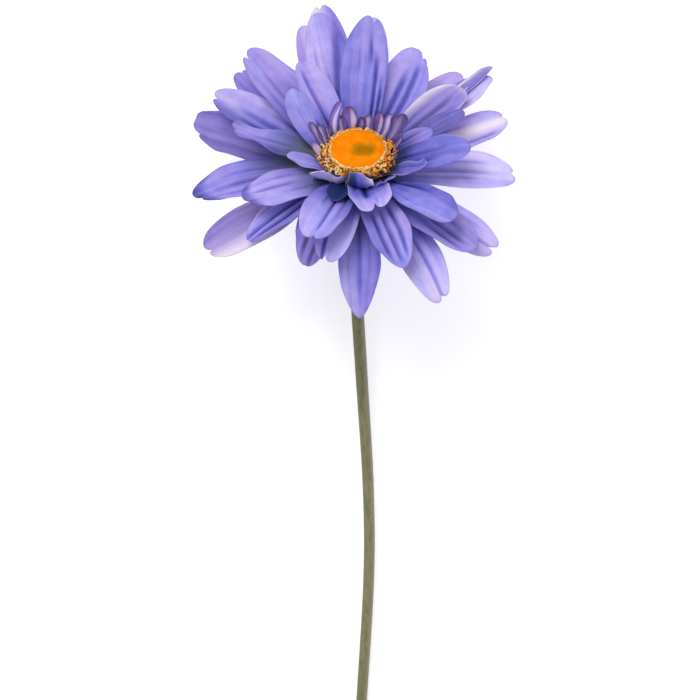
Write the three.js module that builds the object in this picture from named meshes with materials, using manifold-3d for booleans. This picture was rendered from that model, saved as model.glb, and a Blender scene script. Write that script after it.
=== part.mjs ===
// A cut gerbera daisy stem lying on a surface: one bare stalk with one bloom. Millimetres, +Z up.
// The stalk runs toward -Y, the bloom is at +Y and its face leans up and away, as it looks from above.
import * as THREE from "three";
import Module from "manifold-3d";

const wasm = await Module();
wasm.setup();

// The bloom's frame: its origin is the middle of the button's rim, its z axis is the way the bloom faces.
const BLOOM_CENTRE = new THREE.Vector3(1, 146, 46.8);
const BLOOM_TILT = 41; // degrees from straight up, toward +Y

// Ray petals. They grow from a short receptacle, in layers that are stacked along the bloom's axis.
const PETAL_THICKNESS = 0.75;
const PETAL_ROOT_RADIUS = 7.5;
const LAYER_BASE = -12.2; // where layer 1's roots are, below the button's rim
const LAYER_STEP = 1.1;
const PETAL_GRID = [7, 6]; // grid steps from root to tip, and across, two for each furrow
const SMALL_PETAL_GRID = [5, 4]; // for petals whose length times width is under SMALL_AREA
const SMALL_AREA = 340;
const RIB_STEPS = 48; // steps along a petal's middle line
const RECEPTACLE = { radius: 8.8, bottom: -12.9, top: -4.6 };

// Short florets between the petals and the button, on a ring that is bare at the bloom's front.
const FLORET_RING = { radius: 11.8, bottom: -3.3, top: -2.5 };
const FLORET_ROOT_RADIUS = 11.2;
const FLORET_THICKNESS = 0.7;
// Each one's direction round the bloom, length, width, rise at its root, sway and roll.
const FLORETS = [
  [-15, 5.5, 2.8, 60, 0, 0],
  [5, 9.3, 2.8, 67, 0, 0],
  [22, 8, 3.4, 62, 10, 0],
  [35, 12.2, 5.1, 54, 14, 0],
  [46, 9.5, 2.8, 57, -8, 20],
  [60, 10, 3.4, 74, 0, 0],
  [73, 7, 3, 70, 0, -10],
  [85, 6.8, 3, 70, 0, 10],
  [103, 10.6, 5, 70, -25, 0],
  [116, 7.5, 3.2, 64, -10, -10],
  [126, 12, 3.4, 54, -55, 0],
  [141, 7, 3.2, 70, 0, 10],
  [153, 9.6, 3.2, 66, 0, -10],
  [163, 11.6, 2.8, 60, -18, 0],
  [184, 8, 2.6, 66, -20, 0],
];

// Curls round the button.
const CURL_COUNT = 30;
const CURL_RING = { radius: 9.4, bottom: -2.2, top: -1.4 };
const CURL_ROOT_RADIUS = 8.7;
const CURL_RADII = [0.5, 0.5, 0.55, 0.6, 0.4]; // from root to tip
const CURL_LENGTH = 3.7;
const CURL_FRONT_EXTRA = 1.3; // how much longer the curls are at the bloom's open front

// The button.
const BUTTON = { radius: 9.9, bottom: -1.1, rim: 0.5, top: 2.9, foot: 8.6, dimple: 0.6 };

// The calyx: a cup with pointed bracts in two rows.
const CALYX = { topRadius: 7.2, bottomRadius: 3.4, top: -13.2, bottom: -23.2 };
const BRACT_ROWS = [
  { count: 9, foot: -21.8, length: 9, width: 4.2, lean: 50 },
  { count: 9, foot: -18.5, length: 6.5, width: 4.2, lean: 44 },
];
const BRACT_THICKNESS = 0.8;
const BRACT_SINK = 0.6; // how far a bract's root is sunk into the cup

// The stalk, which starts just under the calyx. Its radii are spread from its neck to its cut end.
const STALK_GAP = 0.3;
const STALK_NECK = 9; // straight length below the calyx
const STALK_END_Y = -200;
const STALK_RADII = [2.5, 2.05, 1.95, 2.1];
const STALK_SIDES = 8;
const STALK_STEPS = 38;

const RAD = Math.PI / 180;
const BLOOM_AXIS = new THREE.Vector3(0, 0, 1);
const clamp = (value, low = 0, high = 1) => Math.min(high, Math.max(low, value));

// Repeatable numbers between -1 and 1.
function seededRandom(seed) {
  let state = seed;
  return () => {
    state = (state + 0x6d2b79f5) | 0;
    let mixed = Math.imul(state ^ (state >>> 15), 1 | state);
    mixed = (mixed + Math.imul(mixed ^ (mixed >>> 7), 61 | mixed)) ^ mixed;
    return ((mixed ^ (mixed >>> 14)) >>> 0) / 2147483648 - 1;
  };
}

function petal(name, layer, turn, length, width, rise, curl, shape = {}) {
  return { name, layer, turn, length, width, rise, curl, ...shape };
}

const SMALL = { base: 0.6, furrow: 0 };

// Each petal: name, layer, direction round the bloom, length, width, rise at its root and how much
// that changes to its tip, in degrees. Then what sets it apart: roll, fold, cup, raised lip, wave or
// hook, a slant that makes one side of its tip longer, its tip's roundness, and notches as [place
// across, depth]. The bloom rests on the tips of the first two, which have no furrows there.
const PETALS = [
  petal("back_top_left", 1, 106, 62.5, 14, 7, 2, { furrow: 0 }),
  petal("back_top_right", 1.5, 82, 62.7, 15, 7, 4, { furrow: 0 }),
  petal("back_upper_right", 1, 53, 53, 15, 2, 2, { roll: -8 }),
  petal("back_right", 1.5, 25, 51, 15, 4, -5, { slant: 0.03, notches: [[0.3, 1.5]] }),
  petal("back_low_right", 1, -34, 49, 16.5, 2, -15, { roll: 6, notches: [[0.12, 4]] }),
  petal("back_bottom", 1, -90, 47.5, 15.5, -3, -30, { tipAlong: 1.5, tipAcross: 1.5, fold: 0.25 }),
  petal("back_low_left", 1, -148, 52, 16, 2, -15, { roll: -4, notches: [[0.1, 2]] }),
  petal("back_left", 1, 154, 54.5, 18, 2, -7, { roll: -20, slant: -0.04, notches: [[0.5, 3]] }),
  petal("back_upper_left", 1.5, 134, 53.5, 15, 8, 0, { notches: [[0.3, 2]] }),
  petal("rear_top", 2, 101, 63, 14.5, 12, 9, { notches: [[0.1, 2]] }),
  petal("rear_right_split", 2, 39, 54.5, 11.5, 5, 2, { roll: -6, cup: 0.3 }),
  petal("rear_right_curl", 1.4, 45, 60.5, 5, 5, 4, { cup: 0.9, furrow: 0 }),
  petal("rear_right_low", 2, -1, 47, 16, 5, -11, { base: 0.3, roll: 4, tipAlong: 1.7, notches: [[0.1, 2]] }),
  petal("rear_bottom_right", 2, -61, 51, 15.5, 2, -26, { notches: [[0.22, 4.5]] }),
  petal("rear_bottom_left", 2, -116, 35.5, 14, 8, -34, { notches: [[0.2, 2]] }),
  petal("rear_left_low", 2, -180, 49.5, 17, 5, -12, { sway: 22, tipAlong: 1.6, notches: [[0.25, 2.5]] }),
  petal("mid_top_left", 3, 103, 58, 15, 12, 12, { lip: -0.25 }),
  petal("mid_upper_right", 3.1, 64.5, 47, 18, 13, 3, { roll: 5, slant: 0.04, notches: [[-0.3, 2]] }),
  petal("mid_right_up", 3.4, 40.5, 42, 14.5, 12, -1, { fold: 0.3, lip: 0.4 }),
  petal("mid_low_right", 3, -41, 46, 15, 9, -18),
  petal("mid_bottom_left", 3.5, -102, 36, 13.5, 14, -30, { notches: [[-0.2, 2.5]] }),
  petal("mid_low_left", 3, -137, 41, 14, 10, -20, { tipAlong: 1.6 }),
  petal("mid_left_up", 3, 149, 51.5, 16, 11, -2, { notches: [[0.3, 2.5]] }),
  petal("fore_top", 4, 86.5, 53, 16.5, 20, 4, { base: 0.34, slant: -0.05, notches: [[-0.45, 3]] }),
  petal("fore_upper_left", 4, 131, 53, 16, 16, 2, { notches: [[0.4, 3]] }),
  petal("fore_bottom_right", 4, -70, 41.5, 14, 14, -26, { tipAlong: 1.5, tipAcross: 1.7 }),
  petal("fore_right_dark", 4.3, 21.5, 33.5, 11, 18, -5, { tipAlong: 3 }),
  petal("fore_left_low", 4, -151, 37.5, 15, 20, -16, { roll: -6, tipAlong: 1.6, notches: [[0.35, 1.5]] }),
  petal("front_right", 5, -1, 33.5, 14.5, 25, -12),
  petal("front_low_right", 5, -50, 40.5, 14.5, 24, -24, { base: 0.3, sway: 9 }),
  petal("front_bottom_left", 5, -112, 36.5, 15.5, 28, -34, { notches: [[0.15, 2]] }),
  petal("front_left_wavy", 5, 172, 38, 9.5, 20, -10, { wave: 1.4 }),
  petal("front_left_inner", 5.5, 138, 28, 11, 34, -4, { cup: 0.05, notches: [[-0.4, 1.5]] }),
  petal("front_top_left", 5, 117, 36.5, 13.5, 26, 0, { fold: 0.2 }),
  petal("small_front", 5.8, -78, 22.5, 15, 28, -18, { ...SMALL, cup: 0.3, slant: -0.1, notches: [[0.1, 3]] }),
  petal("small_hollow", 5.8, -109, 17.5, 9, 30, -18, { ...SMALL, base: 0.9, cup: 0.1 }),
  petal("small_fold_left", 5.8, -91, 13, 8, 0, 125, { ...SMALL, slant: -0.05 }),
  petal("small_fold_right", 5.6, -53, 11.5, 9.5, 12, 50, SMALL),
  petal("small_frill", 5.8, -137, 13.5, 14, 2, 84, { ...SMALL, cup: 0, sway: 30 }),
  petal("small_right", 5.8, -30, 24, 7.5, 26, -2, { ...SMALL, cup: 0.4, hook: 55 }),
  petal("small_left", 5.8, -177, 18.5, 7, 26, 0, SMALL),
  petal("small_upper_right", 4.8, 26, 22, 8, 18, 0, { ...SMALL, tipAlong: 1.5 }),
];

// The middle line of a blade: it leaves its root in the direction turn and rise, and bends as it goes.
// Each of its frames has a place, the way along, the way across and the way up from the blade's face.
function middleLine(blade) {
  const { rootRadius = PETAL_ROOT_RADIUS, rootHeight, turn, length, rise, curl = 0, hook = 0 } = blade;
  const { sway = 0, roll = 0 } = blade;
  const alongAt = (s) => {
    const heading = (turn + sway * s) * RAD;
    const climb = (rise + curl * s + hook * clamp((s - 0.55) / 0.45) ** 2) * RAD;
    const level = Math.cos(climb);
    return new THREE.Vector3(level * Math.cos(heading), level * Math.sin(heading), Math.sin(climb));
  };
  const place = new THREE.Vector3(rootRadius, 0, rootHeight).applyAxisAngle(BLOOM_AXIS, turn * RAD);
  const frames = [];
  for (let i = 0; i <= RIB_STEPS; i++) {
    const s = i / RIB_STEPS;
    if (i > 0) place.addScaledVector(alongAt((i - 0.5) / RIB_STEPS), length / RIB_STEPS);
    const heading = (turn + sway * s) * RAD;
    const along = alongAt(s);
    const level = new THREE.Vector3(-Math.sin(heading), Math.cos(heading), 0);
    const above = new THREE.Vector3().crossVectors(along, level);
    const lean = roll * RAD * clamp(s / 0.3);
    const across = level.clone().multiplyScalar(Math.cos(lean)).addScaledVector(above, Math.sin(lean));
    const up = above.multiplyScalar(Math.cos(lean)).addScaledVector(level, -Math.sin(lean));
    frames.push({ place: place.clone(), across, up });
  }
  return frames;
}

function frameAt(frames, s) {
  const position = clamp(s) * RIB_STEPS;
  const low = Math.min(RIB_STEPS - 1, Math.floor(position));
  const share = position - low;
  const mix = (key) => frames[low][key].clone().lerp(frames[low + 1][key], share);
  return { place: mix("place"), across: mix("across"), up: mix("up") };
}

// A blade's outline: for a grid place (s along, t across, both ends included) it gives how far along
// the point lies and the half width there. The sides swell from the base, the tip is a rounded arc,
// and each notch draws it back between two rounded lobes.
const TIP_CORNER = 0.72; // where across the tip its arc meets the sides
function outline(blade, s, t) {
  const { widest = 0.62, tipAlong = 2, tipAcross = 2.2, base = 0.4, slant = 0, length } = blade;
  const arc = (x) => widest + (1 - widest) * (1 - x ** tipAcross) ** (1 / tipAlong);
  const toTip = clamp((s - 0.5) / 0.5) ** 2;
  const side = s - (1 - arc(TIP_CORNER)) * toTip;
  const past = clamp((side - widest) / (1 - widest));
  const swell = base + (1 - base) * Math.sin((Math.PI / 2) * clamp(side / widest)) ** 0.95;
  const half = side < widest ? swell : (1 - past ** tipAlong) ** (1 / tipAcross);
  let along = s - (1 - arc(Math.abs(TIP_CORNER * t)) - slant * t) * toTip;
  for (const [place, depth] of blade.notches ?? []) {
    along -= (depth / length) * Math.exp(-((Math.abs(t - place) / 0.15) ** 0.9)) * toTip;
  }
  return { along, half };
}

// A point of a blade's face: cupped or folded across, furrowed along, with a raised lip or a wave.
function bladePoint(blade, frames, s, t, offset) {
  const { cup = 0.12, fold = 0, lip = 0, furrow = 0.4, wave = 0, waves = 1.5 } = blade;
  const { along, half } = outline(blade, s, t);
  const { place, across, up } = frameAt(frames, along);
  const reach = (half * blade.width) / 2;
  const grow = clamp(s / 0.35) ** 0.7;
  const lipShare = clamp((Math.sign(lip) * t - 0.35) / 0.65) ** 2;
  let height = (cup * t * t + fold * Math.abs(t) + Math.abs(lip) * lipShare) * reach * grow;
  height += furrow * Math.cos(3 * Math.PI * t) * grow * Math.sqrt(clamp((1.04 - s) / 0.3));
  height += wave * t * Math.sin(2 * Math.PI * waves * s) * grow;
  const sideways = reach * t * (1 - 0.12 * Math.abs(cup + fold) - 0.25 * Math.abs(lip) * lipShare * grow);
  return place.addScaledVector(across, sideways).addScaledVector(up, height + offset);
}

// Where a blade's grid columns stand across it: evenly, but for one that is moved into each notch.
function columnPlaces(columns, notches = []) {
  const places = Array.from({ length: columns + 1 }, (_, j) => (2 * j) / columns - 1);
  for (const [notch] of notches) places[Math.round(((notch + 1) * columns) / 2)] = notch;
  return places;
}

// A closed blade: the same grid on both faces, split alike, joined round its edge.
function bladeSolid(blade, rows, columns, thickness) {
  const frames = middleLine(blade);
  const across = columnPlaces(columns, blade.notches);
  const points = [];
  for (const side of [1, -1]) {
    for (let i = 0; i <= rows; i++) {
      for (const t of across) {
        points.push(bladePoint(blade, frames, i / rows, t, (side * thickness) / 2));
      }
    }
  }
  const face = (rows + 1) * (columns + 1);
  const at = (i, j) => i * (columns + 1) + j;
  const triangles = [];
  for (let i = 0; i < rows; i++) {
    for (let j = 0; j < columns; j++) {
      const [a, b, c, d] = [at(i, j), at(i + 1, j), at(i + 1, j + 1), at(i, j + 1)];
      triangles.push([a, b, c], [a, c, d], [a + face, c + face, b + face], [a + face, d + face, c + face]);
    }
  }
  const edge = [];
  for (let i = 0; i < rows; i++) edge.push(at(i, 0));
  for (let j = 0; j < columns; j++) edge.push(at(rows, j));
  for (let i = rows; i > 0; i--) edge.push(at(i, columns));
  for (let j = columns; j > 0; j--) edge.push(at(0, j));
  edge.forEach((a, k) => {
    const b = edge[(k + 1) % edge.length];
    triangles.push([a, a + face, b + face], [a, b + face, b]);
  });
  return toSolid(points, triangles);
}

// A closed tube through given places, with its own radius at each and flat ends.
function tubeSolid(places, radii, sides, phase = 0) {
  const points = [];
  const ahead = new THREE.Vector3();
  let sideways = new THREE.Vector3(1, 0, 0);
  places.forEach((place, i) => {
    ahead.subVectors(places[Math.min(i + 1, places.length - 1)], places[Math.max(i - 1, 0)]).normalize();
    sideways = sideways.clone().addScaledVector(ahead, -sideways.dot(ahead)).normalize();
    const upward = new THREE.Vector3().crossVectors(ahead, sideways);
    for (let k = 0; k < sides; k++) {
      const angle = phase + (2 * Math.PI * k) / sides;
      const point = place.clone().addScaledVector(sideways, radii[i] * Math.cos(angle));
      points.push(point.addScaledVector(upward, radii[i] * Math.sin(angle)));
    }
  });
  const triangles = [];
  for (let i = 0; i < places.length - 1; i++) {
    for (let k = 0; k < sides; k++) {
      const [a, b] = [i * sides + k, i * sides + ((k + 1) % sides)];
      triangles.push([a, b, b + sides], [a, b + sides, a + sides]);
    }
  }
  const last = (places.length - 1) * sides;
  for (let k = 1; k < sides - 1; k++) {
    triangles.push([0, k + 1, k], [last, last + k, last + k + 1]);
  }
  return toSolid(points, triangles);
}

// A solid of revolution about the bloom's axis, from a profile of [radius, height] that starts and
// ends on the axis.
function turnedSolid(profile, segments) {
  const points = [];
  const starts = [];
  for (const [radius, height] of profile) {
    starts.push(points.length);
    const ring = radius > 0 ? segments : 1;
    for (let k = 0; k < ring; k++) {
      const angle = (2 * Math.PI * k) / segments;
      points.push(new THREE.Vector3(radius * Math.cos(angle), radius * Math.sin(angle), height));
    }
  }
  const triangles = [];
  for (let i = 0; i < profile.length - 1; i++) {
    const [low, high] = [starts[i], starts[i + 1]];
    const [lowOpen, highOpen] = [profile[i][0] > 0, profile[i + 1][0] > 0];
    for (let k = 0; k < segments; k++) {
      const next = (k + 1) % segments;
      if (lowOpen) triangles.push([low + k, low + next, high + (highOpen ? next : 0)]);
      if (highOpen) triangles.push([low + (lowOpen ? k : 0), high + next, high + k]);
    }
  }
  return toSolid(points, triangles);
}

function toSolid(points, triangles) {
  const vertProperties = new Float32Array(points.flatMap((point) => [point.x, point.y, point.z]));
  const build = (faces) => {
    const triVerts = new Uint32Array(faces.flat());
    return new wasm.Manifold(new wasm.Mesh({ numProp: 3, vertProperties, triVerts }));
  };
  const solid = build(triangles);
  return solid.volume() > 0 ? solid : build(triangles.map(([a, b, c]) => [a, c, b]));
}

function fuse(solids) {
  let level = solids;
  while (level.length > 1) {
    const joined = [];
    for (let i = 0; i < level.length; i += 2) {
      joined.push(i + 1 < level.length ? level[i].add(level[i + 1]) : level[i]);
    }
    level = joined;
  }
  return level[0];
}

function meshOf(name, solid, color, roughness) {
  const { vertProperties, triVerts } = solid.getMesh();
  const geometry = new THREE.BufferGeometry();
  geometry.setAttribute("position", new THREE.BufferAttribute(new Float32Array(vertProperties), 3));
  geometry.setIndex(new THREE.BufferAttribute(new Uint32Array(triVerts), 1));
  geometry.computeVertexNormals();
  const material = new THREE.MeshStandardMaterial({ color, roughness, metalness: 0, flatShading: true });
  const mesh = new THREE.Mesh(geometry, material);
  mesh.name = name;
  return mesh;
}

const plainRing = ({ radius, bottom, top }) => {
  return turnedSolid([[0, bottom], [radius, bottom], [radius, top], [0, top]], 20);
};

function makeRayPetals() {
  const blades = PETALS.map((entry) => {
    const rootHeight = LAYER_BASE + LAYER_STEP * (entry.layer - 1);
    const [rows, columns] = entry.length * entry.width < SMALL_AREA ? SMALL_PETAL_GRID : PETAL_GRID;
    return bladeSolid({ ...entry, rootHeight }, rows, columns, PETAL_THICKNESS);
  });
  return meshOf("ray_petals", fuse([plainRing(RECEPTACLE), ...blades]), "#8a83d6", 0.8);
}

function makeInnerFlorets() {
  const rootHeight = (FLORET_RING.bottom + FLORET_RING.top) / 2;
  const shape = { rootRadius: FLORET_ROOT_RADIUS, rootHeight, base: 0.6, cup: 0.3, furrow: 0 };
  const solids = FLORETS.map(([turn, length, width, rise, sway, roll]) => {
    const floret = { ...shape, turn, length, width, rise, sway, roll };
    return bladeSolid(floret, 4, 2, FLORET_THICKNESS);
  });
  return meshOf("inner_florets", fuse([plainRing(FLORET_RING), ...solids]), "#8b6f9f", 0.85);
}

// A curl leaves the ring outward, rises past the button's rim and bends back over it.
function makeStamenCurls() {
  const random = seededRandom(23);
  const height = (CURL_RING.bottom + CURL_RING.top) / 2;
  const solids = [plainRing(CURL_RING)];
  for (let i = 0; i < CURL_COUNT; i++) {
    const turn = (360 / CURL_COUNT) * i + 2 * random();
    const length = CURL_LENGTH + CURL_FRONT_EXTRA * clamp(-Math.sin(turn * RAD)) + 0.3 * random();
    const bend = { rise: 5, curl: 88 + 14 * random(), sway: 12 * random() };
    const curl = { rootRadius: CURL_ROOT_RADIUS, rootHeight: height, turn, length, ...bend };
    const frames = middleLine(curl);
    const places = CURL_RADII.map((_, k) => frameAt(frames, k / (CURL_RADII.length - 1)).place);
    solids.push(tubeSolid(places, CURL_RADII, 3));
  }
  return meshOf("stamen_curls", fuse(solids), "#f0cf8a", 0.8);
}

// The button is a smooth low dome with a shallow dimple.
function makeButton() {
  const { radius, bottom, rim, top, foot } = BUTTON;
  const profile = [[0, bottom], [foot, bottom], [radius, bottom + 0.9], [radius, rim]];
  const rings = 6;
  for (let i = 1; i <= rings; i++) {
    const share = 1 - i / rings;
    const dome = Math.sqrt(1 - share ** 2.6);
    const dimple = BUTTON.dimple * Math.exp(-((share / 0.3) ** 2));
    profile.push([radius * share, rim + (top - rim) * dome - dimple]);
  }
  return meshOf("button", turnedSolid(profile, 32), "#f58a12", 0.85);
}

function makeCalyx() {
  const { topRadius, bottomRadius, top, bottom } = CALYX;
  const profile = [[0, bottom]];
  const radiusAt = (share) => bottomRadius + (topRadius - bottomRadius) * share;
  for (const share of [0, 0.5, 1]) profile.push([radiusAt(share), bottom + (top - bottom) * share]);
  profile.push([0, top]);
  const solids = [turnedSolid(profile, 20)];
  BRACT_ROWS.forEach(({ count, foot, length, width, lean }, row) => {
    const cupRadius = radiusAt((foot - bottom) / (top - bottom));
    for (let i = 0; i < count; i++) {
      const turn = (360 / count) * (i + row / 2);
      const path = { rootRadius: cupRadius - BRACT_SINK, rootHeight: foot, turn, rise: lean, curl: 12 };
      const shape = { base: 0.5, widest: 0.4, tipAlong: 1.2, tipAcross: 1.2, cup: -0.25, furrow: 0 };
      solids.push(bladeSolid({ ...path, length, width, ...shape }, 3, 2, BRACT_THICKNESS));
    }
  });
  return meshOf("calyx", fuse(solids), "#6f8a4c", 0.75);
}

// The stalk leaves the calyx along the bloom's axis, bends level and comes down to its cut end.
function makeStalk(bloomFrame) {
  const top = new THREE.Vector3(0, 0, CALYX.bottom - STALK_GAP).applyMatrix4(bloomFrame);
  const away = new THREE.Vector3(0, 0, -1).transformDirection(bloomFrame);
  const neck = top.clone().addScaledVector(away, STALK_NECK);
  const rest = STALK_RADII[3] * Math.cos(Math.PI / STALK_SIDES);
  const path = new THREE.CatmullRomCurve3([
    top,
    neck,
    new THREE.Vector3(0.6, 104, 11.5),
    new THREE.Vector3(2.4, 72, 8),
    new THREE.Vector3(4.9, 30, 6.4),
    new THREE.Vector3(5.2, 2, 5.4),
    new THREE.Vector3(2.8, -42, 4.3),
    new THREE.Vector3(-0.8, -92, 3.3),
    new THREE.Vector3(-4.2, -146, 2.5),
    new THREE.Vector3(-6.5, STALK_END_Y, rest),
  ], false, "centripetal");
  const places = path.getSpacedPoints(STALK_STEPS);
  const radii = places.map((_, i) => {
    const position = (i / STALK_STEPS) * (STALK_RADII.length - 1);
    const low = Math.min(STALK_RADII.length - 2, Math.floor(position));
    return THREE.MathUtils.lerp(STALK_RADII[low], STALK_RADII[low + 1], position - low);
  });
  return meshOf("stem", tubeSolid(places, radii, STALK_SIDES, Math.PI / STALK_SIDES), "#8b8868", 0.85);
}

const bloom = new THREE.Group();
bloom.position.copy(BLOOM_CENTRE);
bloom.rotation.x = -BLOOM_TILT * RAD;
bloom.updateMatrixWorld(true);
bloom.add(makeRayPetals(), makeInnerFlorets(), makeStamenCurls(), makeButton(), makeCalyx());

const gerbera = new THREE.Group();
gerbera.add(bloom, makeStalk(bloom.matrixWorld));

export default gerbera;
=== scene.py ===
"""Blender scene of a cut gerbera daisy stem that lies on a pale surface.

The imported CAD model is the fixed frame. Each of its nodes is replaced by a finer piece of the same
form: thin furrowed ray petals, short inner florets, crinkled curls, a plush button, a downy calyx
and a flocked stalk. Sizes are in millimetres and become metres where a mesh is made.
"""

import logging
import math
from dataclasses import dataclass, field
from enum import Enum
from typing import Any, Optional, Sequence, Union

import bpy
import numpy as np
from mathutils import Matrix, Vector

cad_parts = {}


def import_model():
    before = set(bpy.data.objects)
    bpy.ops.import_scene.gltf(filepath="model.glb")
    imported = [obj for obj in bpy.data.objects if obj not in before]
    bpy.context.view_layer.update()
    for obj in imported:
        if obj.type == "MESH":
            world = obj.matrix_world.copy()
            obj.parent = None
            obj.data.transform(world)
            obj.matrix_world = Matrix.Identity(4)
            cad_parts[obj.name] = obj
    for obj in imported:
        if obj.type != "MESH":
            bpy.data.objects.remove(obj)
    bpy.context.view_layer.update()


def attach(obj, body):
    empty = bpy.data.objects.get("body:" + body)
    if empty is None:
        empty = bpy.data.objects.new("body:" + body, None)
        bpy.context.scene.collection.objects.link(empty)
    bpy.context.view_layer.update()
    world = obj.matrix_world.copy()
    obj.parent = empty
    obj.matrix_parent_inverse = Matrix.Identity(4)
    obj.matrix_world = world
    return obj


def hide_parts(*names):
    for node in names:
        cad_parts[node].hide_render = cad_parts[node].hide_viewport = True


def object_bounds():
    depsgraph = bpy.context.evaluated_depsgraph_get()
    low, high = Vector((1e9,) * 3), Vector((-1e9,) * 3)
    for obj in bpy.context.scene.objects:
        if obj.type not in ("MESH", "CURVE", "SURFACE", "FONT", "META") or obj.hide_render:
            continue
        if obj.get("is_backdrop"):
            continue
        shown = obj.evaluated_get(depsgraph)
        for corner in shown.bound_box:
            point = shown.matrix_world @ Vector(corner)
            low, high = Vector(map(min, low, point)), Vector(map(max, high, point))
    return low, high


log = logging.getLogger("gerbera")

MM = 0.001
BODY = "root"
BLOOM_CENTRE = np.array((1.0, 146.0, 46.8))
BLOOM_TILT = 41.0
UV_SPAN = 24.0

Colour = tuple[float, float, float]
Number = Union[float, "Signal"]


def clamp(values: Any, low: float = 0.0, high: float = 1.0) -> Any:
    """Numbers held between two limits."""
    return np.clip(values, low, high)


def smooth(values: Any, low: float, high: float) -> Any:
    """A smooth step from 0 below one limit to 1 above the other."""
    share = clamp((values - low) / (high - low))
    return share * share * (3 - 2 * share)


def bloom_to_row(points: np.ndarray) -> np.ndarray:
    """Turns bloom places into row places: tilted round x, then moved to the bloom's centre.

    Args:
        points: places in the bloom's frame, whose z axis is the way the bloom faces.

    Returns:
        The same places in the row frame, in millimetres.
    """
    tilt = math.radians(BLOOM_TILT)
    turned = np.array(
        (
            (1.0, 0.0, 0.0),
            (0.0, math.cos(tilt), math.sin(tilt)),
            (0.0, -math.sin(tilt), math.cos(tilt)),
        )
    )
    return points @ turned.T + BLOOM_CENTRE


def seeded_draws(seed: int, count: int) -> np.ndarray:
    """Repeatable numbers between -1 and 1, the same ones that place the CAD model's repeats.

    Each draw adds a constant to a 32-bit state and mixes its bits by shifts, products and XOR.

    Args:
        seed: where the row of numbers starts.
        count: how many are drawn.

    Returns:
        The numbers, in order.
    """
    mask = 0xFFFFFFFF
    state = seed
    draws = []
    for _ in range(count):
        state = (state + 0x6D2B79F5) & mask
        mixed = ((state ^ (state >> 15)) * (1 | state)) & mask
        mixed = ((mixed + (((mixed ^ (mixed >> 7)) * (61 | mixed)) & mask)) & mask) ^ mixed
        draws.append(((mixed ^ (mixed >> 14)) & mask) / 2147483648 - 1)
    return np.array(draws)


def ripple(seed: int, *axes: np.ndarray) -> np.ndarray:
    """A smooth uneven swell between about -1 and 1: the mean of four sines of mixed directions.

    Args:
        seed: picks the sines' directions and phases.
        axes: one array for each direction in which the swell changes.

    Returns:
        The swell, in the shape that the axes broadcast to.
    """
    random = np.random.default_rng(seed)
    total = 0.0
    for _ in range(4):
        phase = random.uniform(0, 2 * math.pi)
        total = total + np.sin(sum(random.uniform(0.4, 1.6) * axis for axis in axes) + phase)
    return total / 2.2


# Meshes


@dataclass
class Shell:
    """A mesh in the making: places, faces, a place on each blade's face, and marks for the finish."""

    points: np.ndarray
    quads: np.ndarray
    uv: np.ndarray
    marks: dict[str, np.ndarray] = field(default_factory=dict)
    triangles: np.ndarray = field(default_factory=lambda: np.zeros((0, 3), int))

    def mark(self, **values: Any) -> "Shell":
        """Sets named marks.

        Args:
            values: each mark's number for the whole shell, or one for each point.

        Returns:
            The shell itself.
        """
        for name, value in values.items():
            self.marks[name] = np.broadcast_to(value, len(self.points)).astype(float)
        return self

    def in_row(self) -> "Shell":
        """Turns its places from the bloom's frame into the row frame, and returns it."""
        self.points = bloom_to_row(self.points)
        return self

    @staticmethod
    def joined(shells: Sequence["Shell"]) -> "Shell":
        """Lays shells side by side in one mesh, with their marks; a missing mark is 0.

        Args:
            shells: the shells to join.

        Returns:
            One shell that holds them all.
        """
        starts = np.cumsum([0] + [len(shell.points) for shell in shells[:-1]])
        names = sorted({name for shell in shells for name in shell.marks})
        marks = {
            name: np.concatenate(
                [shell.marks.get(name, np.zeros(len(shell.points))) for shell in shells]
            )
            for name in names
        }
        return Shell(
            np.concatenate([shell.points for shell in shells]),
            np.concatenate([shell.quads + start for shell, start in zip(shells, starts)]),
            np.concatenate([shell.uv for shell in shells]),
            marks,
            np.concatenate([shell.triangles + start for shell, start in zip(shells, starts)]),
        )

    def piece(
        self, name: str, material: bpy.types.Material, slot: str, replaced: Sequence[str]
    ) -> bpy.types.Object:
        """Makes the shell an object that rides on the part's body and stands for its CAD nodes.

        Args:
            name: the object's name.
            material: its finish.
            slot: the record's material slot, which is not used.
            replaced: the CAD nodes that it stands for.

        Returns:
            The object.
        """
        mesh = bpy.data.meshes.new(name)
        corners = np.concatenate([self.quads.ravel(), self.triangles.ravel()]).astype(np.int32)
        sizes = np.repeat([4, 3], [len(self.quads), len(self.triangles)])
        starts = np.concatenate([[0], np.cumsum(sizes)[:-1]]).astype(np.int32)
        mesh.vertices.add(len(self.points))
        mesh.vertices.foreach_set("co", (self.points * MM).astype(np.float32).ravel())
        mesh.loops.add(len(corners))
        mesh.loops.foreach_set("vertex_index", corners)
        mesh.polygons.add(len(sizes))
        mesh.polygons.foreach_set("loop_start", starts)
        mesh.update(calc_edges=True)
        mesh.uv_layers.new(name="blade").data.foreach_set(
            "uv", self.uv[corners].astype(np.float32).ravel()
        )
        for key, values in self.marks.items():
            layer = mesh.attributes.new(key, "FLOAT", "POINT")
            layer.data.foreach_set("value", values.astype(np.float32))
        mesh.validate()
        mesh.shade_smooth()
        mesh.materials.append(material)
        piece = bpy.data.objects.new(name, mesh)
        bpy.context.scene.collection.objects.link(piece)
        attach(piece, BODY)
        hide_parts(*replaced)
        faces = 2 * len(self.quads) + len(self.triangles)
        log.info("%s: %d triangles", name, faces)
        return piece


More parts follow.
